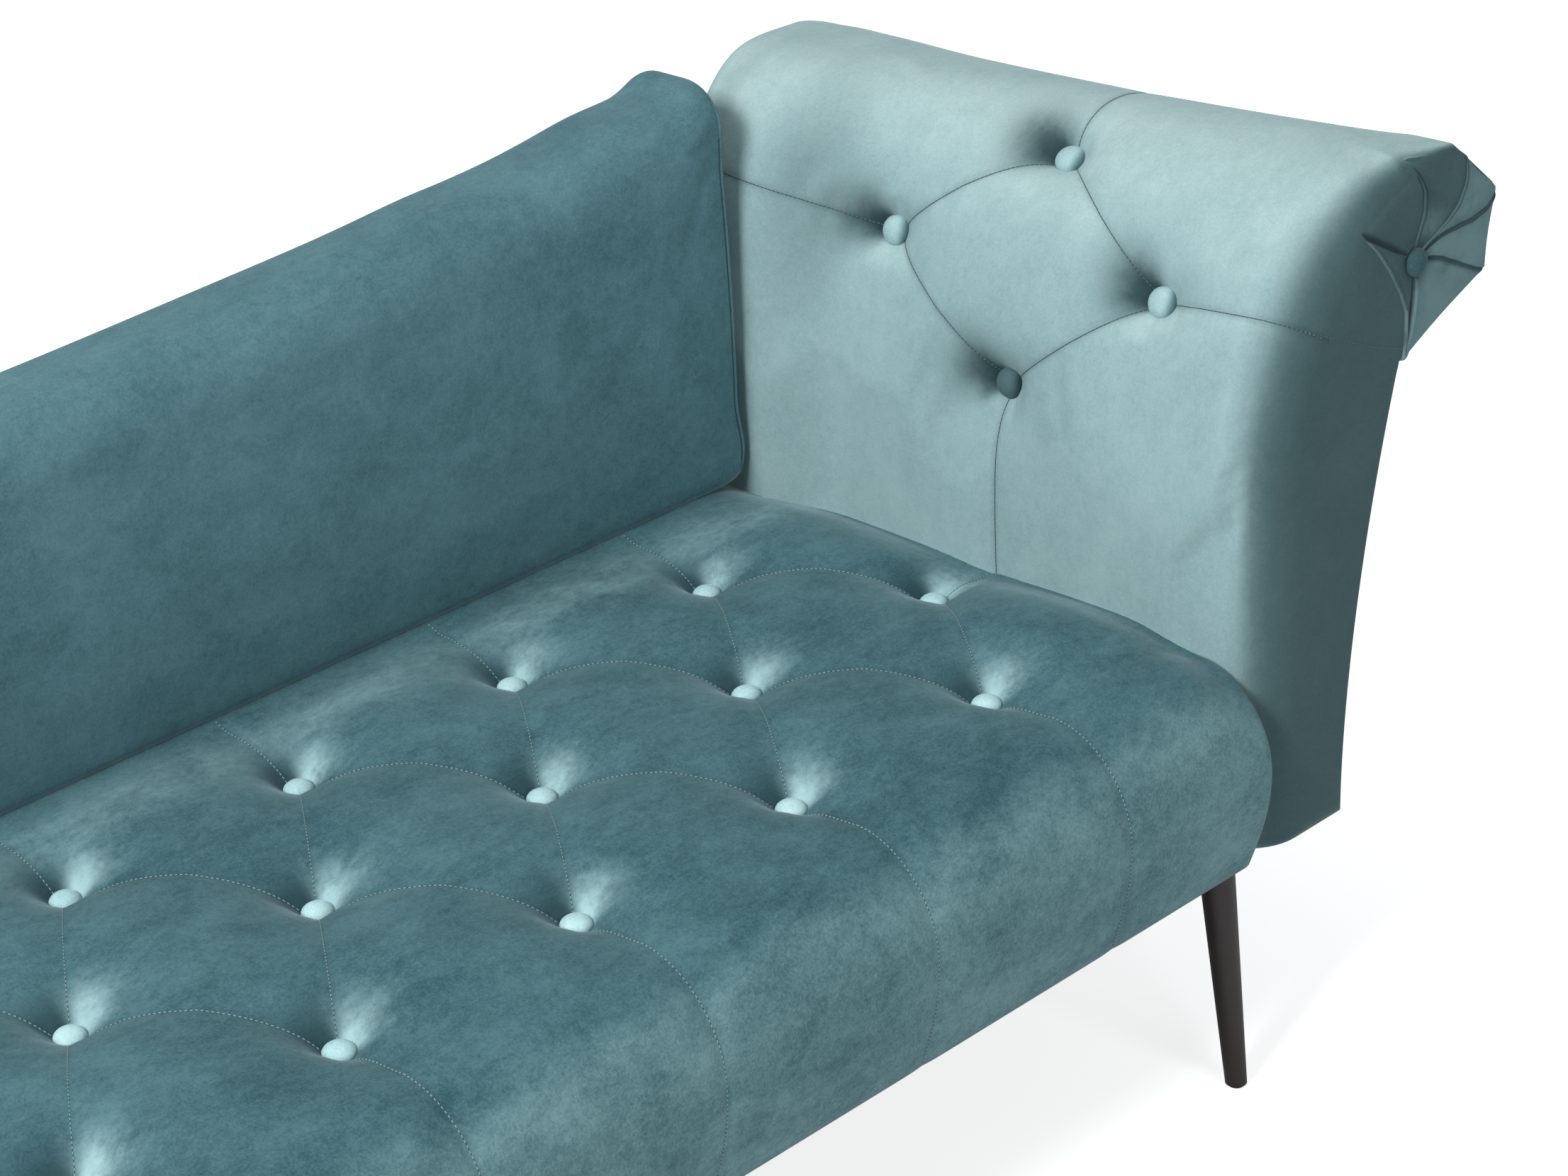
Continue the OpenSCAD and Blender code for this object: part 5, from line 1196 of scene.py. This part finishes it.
def woven(name, warp, weft, pitch):
    """A plain weave read from the object's own coordinates."""
    f = Finish(name, specular_ior_level=0.2)
    x, y, z = f.parts(f.place())
    waves = math.pi / pitch
    cross = x.maths("SINE", x * waves) * x.maths("SINE", (y + z) * waves) * 0.5 + 0.5
    fuzz = f.noise(0.35 / pitch, 3.0, 0.6)
    tint = f.blend(cross, warp, weft)
    tint = f.blend(fuzz * 0.5, tint, darker(warp, 0.5))
    relief = f.bump(cross + fuzz * 0.5, 0.5, pitch * 0.3)
    return f.wear(base_color=tint, roughness=0.85 - 0.2 * fuzz, normal=relief)


def foam_finish():
    f = Finish("foam_cells", specular_ior_level=0.15)
    cells = f.node("ShaderNodeTexVoronoi", None, {"Vector": f.place(), "Scale": 620.0})
    broad = f.noise(18.0, 3.0)
    tint = f.blend(broad, rgb(226, 214, 176), rgb(240, 231, 200))
    tint = f.blend(cells * 0.4, tint, rgb(190, 172, 128))
    return f.wear(base_color=tint, roughness=0.95 - 0.1 * broad, normal=f.bump(cells, 0.5, 0.0008))


def board_finish():
    f = Finish("pressed_board", specular_ior_level=0.25)
    flakes = f.node("ShaderNodeTexVoronoi", None, {"Vector": f.place((1, 1, 2.2)), "Scale": 160.0})
    broad = f.noise(22.0, 4.0)
    tint = f.blend(broad, rgb(118, 84, 56), rgb(150, 112, 78))
    tint = f.blend(flakes * 0.5, tint, rgb(88, 60, 40))
    return f.wear(base_color=tint, roughness=0.7 + 0.2 * broad, normal=f.bump(flakes, 0.3, 0.0004))


def steel_finish():
    f = Finish("zinc_plate", specular_ior_level=0.5)
    spangle = f.noise(180.0, 3.0, 0.6)
    tint = f.blend(spangle, rgb(158, 160, 160), rgb(206, 207, 204))
    relief = f.bump(spangle, 0.1, 0.0002)
    return f.wear(base_color=tint, metallic=0.95, roughness=0.28 + 0.2 * spangle, normal=relief)


def glide_finish():
    f = Finish("glide_felt", sheen_weight=0.3, specular_ior_level=0.2)
    fuzz = f.noise(900.0, 3.0, 0.7)
    tint = f.blend(fuzz, rgb(30, 30, 31), rgb(58, 57, 56))
    return f.wear(base_color=tint, roughness=0.85 + 0.1 * fuzz, normal=f.bump(fuzz, 0.5, 0.0005))


finishes = {
    "timber": timber("beech_frame", rgb(206, 170, 124), rgb(170, 128, 84)),
    "board": board_finish(),
    "webbing": woven("webbing_weave", rgb(38, 36, 34), rgb(112, 98, 76), 0.0034),
    "hessian": woven("hessian_weave", rgb(170, 136, 92), rgb(206, 176, 130), 0.0026),
    "dust_cloth": woven("dust_cloth_weave", rgb(24, 24, 25), rgb(44, 44, 46), 0.0022),
    "foam": foam_finish(),
    "leg_finish": leg_lacquer(),
    "steel": steel_finish(),
    "glide": glide_finish(),
}


# Buttons, set square to the covers at the bottom of their pits
ABOVE_SEAT = 700.0
# How far each kind of button stands out of its pit, the first two in metres
SEAT_LIFT, ARM_LIFT, FAN_LIFT = 0.0044, 0.0056, 4.6
seat_tree, arm_tree = tree_of(seat), tree_of(arm)
seat_spots = laid(seat_tree, [(x, y, ABOVE_SEAT) for x, y in seat_buttons], (0, 0, -1), SEAT_LIFT)
seat_places = [(spot, (0, 0, 1)) for spot in seat_spots]
arm_places = []
for s, y in arm_buttons:
    point, _ = arm_surface(np.array([s - 12.0, s, s + 12.0]), y)
    along = Vector(point[2] - point[0]).normalized()
    normal = Vector((-along.z, 0, along.x))
    arm_places.append((Vector(point[1]) * MM + normal * ARM_LIFT, normal))
button_x, button_z = SCROLL_BUTTON
scroll_places = [
    (Vector((button_x, Y_FRONT - FAN_LIFT, button_z)) * MM, (0, -1, 0)),
    (Vector((button_x - ARM_TAPER, Y_ARM_REAR + FAN_LIFT, button_z)) * MM, (0, 1, 0)),
]
button_run = button_nodes()
button_sets = []
for name, places, node, wide, tall, cloth in (
    ("seat_covered_buttons", seat_places, "seat_buttons", 0.0268, 0.0090, velvet_button),
    ("arm_covered_buttons", arm_places, "arm_buttons", 0.0290, 0.0100, velvet_arm_button),
    ("scroll_covered_buttons", scroll_places, "scroll_buttons", 0.0262, 0.0070, velvet_dark_button),
):
    piece = button_points(name, places)
    run_nodes(piece, button_run, {"Diameter": wide, "Height": tall, "Material": cloth})
    button_sets.append((piece, cloth, node))


# Stitched seams, laid on the finished covers
def between(a, b, trim_a, trim_b):
    """Places about 4 mm apart from a to b, less a trim at each end."""
    length = math.hypot(b[0] - a[0], b[1] - a[1])
    shares = np.linspace(trim_a / length, 1 - trim_b / length, max(4, int(length / 4)))
    return [(a[0] + (b[0] - a[0]) * t, a[1] + (b[1] - a[1]) * t) for t in shares]


def seat_run(a, b, trim_a, trim_b):
    places = between(a, b, trim_a, trim_b)
    return laid(seat_tree, [(x, y, ABOVE_SEAT) for x, y in places], (0, 0, -1))


# Rays from outside find the nose's seams, first turned about its middle and then level
NOSE_MIDDLE, NOSE_LEVEL, OUTSIDE = 372.0, 366.0, 400.0


def nose_run(start, aim):
    """Down the nose from the crest, facing the front or the foot."""
    line = []
    x, y = start
    for a in np.radians(np.linspace(90, 2, 40)):
        way = Vector((aim[0] * math.cos(a), aim[1] * math.cos(a), math.sin(a)))
        line += laid(seat_tree, [Vector((x, y, NOSE_MIDDLE)) + way * OUTSIDE], -way)
    heights = np.linspace(NOSE_LEVEL, Z_UNDER + 3, 30)
    before = [(x + aim[0] * 0.5 * OUTSIDE, y + aim[1] * 0.5 * OUTSIDE, z) for z in heights]
    return line + laid(seat_tree, before, (-aim[0], -aim[1], 0))


def arm_run(a, b, trim_a, trim_b):
    line = []
    for s, y in between(a, b, trim_a, trim_b):
        point, _ = arm_surface(np.array([s]), y)
        spot, normal, _, _ = arm_tree.find_nearest(Vector(point[0]) * MM)
        line.append(spot + normal * 0.0002)
    return line


seat_lines = [seat_run(a, b, 13, 13) for a, b in seat_tied]
for a, b in seat_loose:
    seat_lines.append(seat_run(a, b, 13, 1))
    if b[1] == Y_CREST:
        seat_lines.append(nose_run(b, (0, -1)))
    elif b[0] == X_CREST:
        seat_lines.append(nose_run(b, (-1, 0)))

arm_lines = [arm_run(a, b, 13, 13) for a, b in arm_tied]
arm_lines += [arm_run(a, b, 13, 1) for a, b in arm_loose]
# The seam of the front button goes on over the arm's rounded edge to the neck
ARM_FRONT_SEAM = [(556, 716), (605, 693), (646, 674), (683, 661)]
Y_AHEAD = -420.0
front_line = arm_lines[-2]
turned_in = front_line[-1] / MM
bend = np.array([(turned_in.x, turned_in.z), *ARM_FRONT_SEAM])
course = zip(*read_path(bend, np.linspace(0.02, len(bend) - 1, 60)))
around = laid(arm_tree, [(x, Y_AHEAD, z) for x, z in course], (0, 1, 0))
front_line += [spot for spot in around if spot.y < (Y_FRONT + 30) * MM]

# The seam up the end of the back, where its welt is sunk
edge_x = X_BACK_R - WELT_IN
heights = np.linspace(Z_BED + 20, 800, 120)
edge_starts = [(edge_x - float(end_lean(edge_x, z)), 100.0, z) for z in heights]
edge_line = laid(tree_of(back), edge_starts, (0, 1, 0), 0.0001)
stitch_run = stitch_nodes()
seams = []
for name, runs, colour, thick, shade_line_wide in (
    ("seat_seam_stitches", seat_lines, thread_pale, 0.0010, 0.00036),
    ("back_seam_stitches", [edge_line], thread_dark, 0.0009, 0.0005),
    ("arm_seam_stitches", arm_lines, thread_dark, 0.0010, 0.00042),
):
    piece = run_of_points(name, runs)
    run_nodes(piece, stitch_run, {"Material": colour, "Shade Line Material": shade_line_finish, "Thread": thick,
                                  "Shade Line Radius": shade_line_wide})
    seams.append(piece)


# Soft layers and sheets inside and underneath, made from the plain solids they stand for
def softened(node, name, width, rounds):
    source = frame["nodes"][node]
    b = bmesh.new()
    b.from_mesh(source.data)
    bmesh.ops.remove_doubles(b, verts=b.verts, dist=1e-5)
    bmesh.ops.dissolve_limit(b, angle_limit=0.02, verts=b.verts, edges=b.edges)
    sharp = [e for e in b.edges if len(e.link_faces) == 2 and e.calc_face_angle(0) > 0.6]
    if sharp and width:
        bmesh.ops.bevel(b, geom=sharp, offset=width, segments=rounds, affect="EDGES", profile=0.5,
                        clamp_overlap=True)
    bmesh.ops.recalc_face_normals(b, faces=b.faces)
    mesh = bpy.data.meshes.new(name)
    b.to_mesh(mesh)
    b.free()
    mesh.polygons.foreach_set("use_smooth", [bool(width)] * len(mesh.polygons))
    return add_object(name, mesh)


def dress(piece, material, slot, *nodes):
    if material:
        piece.data.materials.clear()
        piece.data.materials.append(material)
    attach(piece, "root")
    if nodes:
        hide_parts(*nodes)
    return piece


for piece, cloth, node in (
    (seat, velvet_seat, "seat_cover"),
    (arm, velvet_arm, "arm_cover"),
    (back, velvet_back, "back_cover"),
    (scroll_front, velvet_scroll, "scroll_fan_front"),
    (scroll_rear, velvet_scroll, "scroll_fan_rear"),
    (outer_panel, velvet_back, "arm_outer_panel"),
    (rear_panel, velvet_back, "back_rear_panel"),
    *button_sets,
):
    dress(piece, cloth, "velvet", node)
for piece in seams:
    dress(piece, None, "velvet")
for node in ("seat_foam", "arm_foam", "back_foam"):
    block = softened(node, node + "_block", 0.002, 2)
    dress(block, finishes["foam"], "foam", node)


for node, name, slot, cut, under in (
    ("dust_cover", "seat_dust_cloth", "dust_cloth", (0.6854, 1.2631),
     ("front_rail", "rear_rail", "foot_rail")),
    ("arm_dust_cover", "arm_dust_cloth", "dust_cloth", (0.0851, 0.6684), ("arm_lower_rail",)),
    ("hessian_sheet", "hessian_cloth", "hessian", (0.6293, 1.2631),
     ("cross_webbing", "long_webbing")),
):
    cloth = softened(node, name, 0.0, 1)
    dress(cloth, finishes[slot], slot, node)

for part in frame["record"]["subparts"]:
    node = frame["nodes"][part["node"]]
    if not node.hide_render:
        node.data.materials.clear()
        node.data.materials.append(finishes[part["material_slot"]])


# Floor, light and camera
def studio():
    world = bpy.data.worlds.new("studio_air")
    bpy.context.scene.world = world
    world.use_nodes = True
    sky = Nodes(world.node_tree)
    path = sky.node("ShaderNodeLightPath").socket.node.outputs
    rays = ("Is Camera Ray", "Is Glossy Ray", "Is Transmission Ray")
    camera, glossy, through = (Wire(sky, path[name]) for name in rays)
    seen = camera.maths("MAXIMUM", camera, camera.maths("MAXIMUM", glossy, through))
    air = sky.node("ShaderNodeBackground", None, {0: (0.92, 0.96, 1.0, 1.0), 1: 0.16})
    white = sky.node("ShaderNodeBackground", None, {0: (1, 1, 1, 1), 1: 1.0})
    mix = sky.node("ShaderNodeMixShader", None, {0: seen, 1: air, 2: white})
    sky.node("ShaderNodeOutputWorld", None, {0: mix})

    mesh = bpy.data.meshes.new("studio_floor")
    mesh.from_pydata([(-14, -14, 0), (14, -14, 0), (14, 14, 0), (-14, 14, 0)], [], [(0, 1, 2, 3)])
    floor = add_object("studio_floor", mesh)
    paper = bpy.data.materials.new("studio_paper")
    paper.use_nodes = True
    sheet = Nodes(paper.node_tree)
    matt = sheet.node("ShaderNodeBsdfDiffuse", None, {0: (0.80, 0.80, 0.80, 1)})
    power = sheet.node("ShaderNodeLightPath", None, None, "Is Camera Ray") * 0.72
    glow = sheet.node("ShaderNodeEmission", None, {1: power})
    both = sheet.node("ShaderNodeAddShader", None, {0: matt, 1: glow})
    sheet.node("ShaderNodeOutputMaterial", None, {0: both})
    mesh.materials.append(paper)


def lamp(name, place, aim, power, size, colour):
    data = bpy.data.lights.new(name, "AREA")
    data.energy, data.color = power, colour
    data.shape, data.size, data.size_y = "RECTANGLE", size[0], size[1]
    light = add_object(name, data)
    light.location = place
    light.rotation_mode = "QUATERNION"
    light.rotation_quaternion = (Vector(place) - Vector(aim)).to_track_quat("Z", "Y")


studio()
lamp("key_from_foot", (-4.3, -0.7, 4.0), (0.2, 0.0, 0.5), 330, (2.0, 1.6), (1.0, 1.0, 1.0))
lamp("fill_from_front", (-1.0, -5.2, 2.8), (0.0, 0.0, 0.4), 115, (3.0, 2.4), (0.96, 0.98, 1.0))
lamp("top_soft", (0.4, 0.8, 4.6), (0.0, 0.0, 0.4), 40, (3.0, 3.0), (1.0, 1.0, 1.0))


# The photo's camera, fitted to the button grid: its turns in degrees, its focal length and
# the frame's width in pixels, and its place in metres
PHOTO_TURNS, PHOTO_FOCAL, PHOTO_WIDE = (44.0326, 25.6088, -3.2046), 5486.9, 2212
PHOTO_PLACE, SENSOR = (-1.89845, -2.21626, 1.96999), 36.0


def photo_camera():
    yaw, pitch, roll = (math.radians(a) for a in PHOTO_TURNS)
    out = math.cos(pitch)
    ahead = Vector((math.sin(yaw) * out, math.cos(yaw) * out, -math.sin(pitch)))
    level = Vector((math.cos(yaw), -math.sin(yaw), 0))
    rise = level.cross(ahead)
    right = math.cos(roll) * level + math.sin(roll) * rise
    up = -math.sin(roll) * level + math.cos(roll) * rise
    data = bpy.data.cameras.new("photo_camera")
    data.sensor_width, data.lens = SENSOR, PHOTO_FOCAL / PHOTO_WIDE * SENSOR
    data.clip_start, data.clip_end = 0.1, 60
    camera = add_object("photo_camera", data)
    matrix = Matrix((right, up, -ahead)).transposed().to_4x4()
    matrix.translation = Vector(PHOTO_PLACE)
    camera.matrix_world = matrix
    bpy.context.scene.camera = camera


photo_camera()
bpy.context.scene.view_settings.view_transform = "Standard"
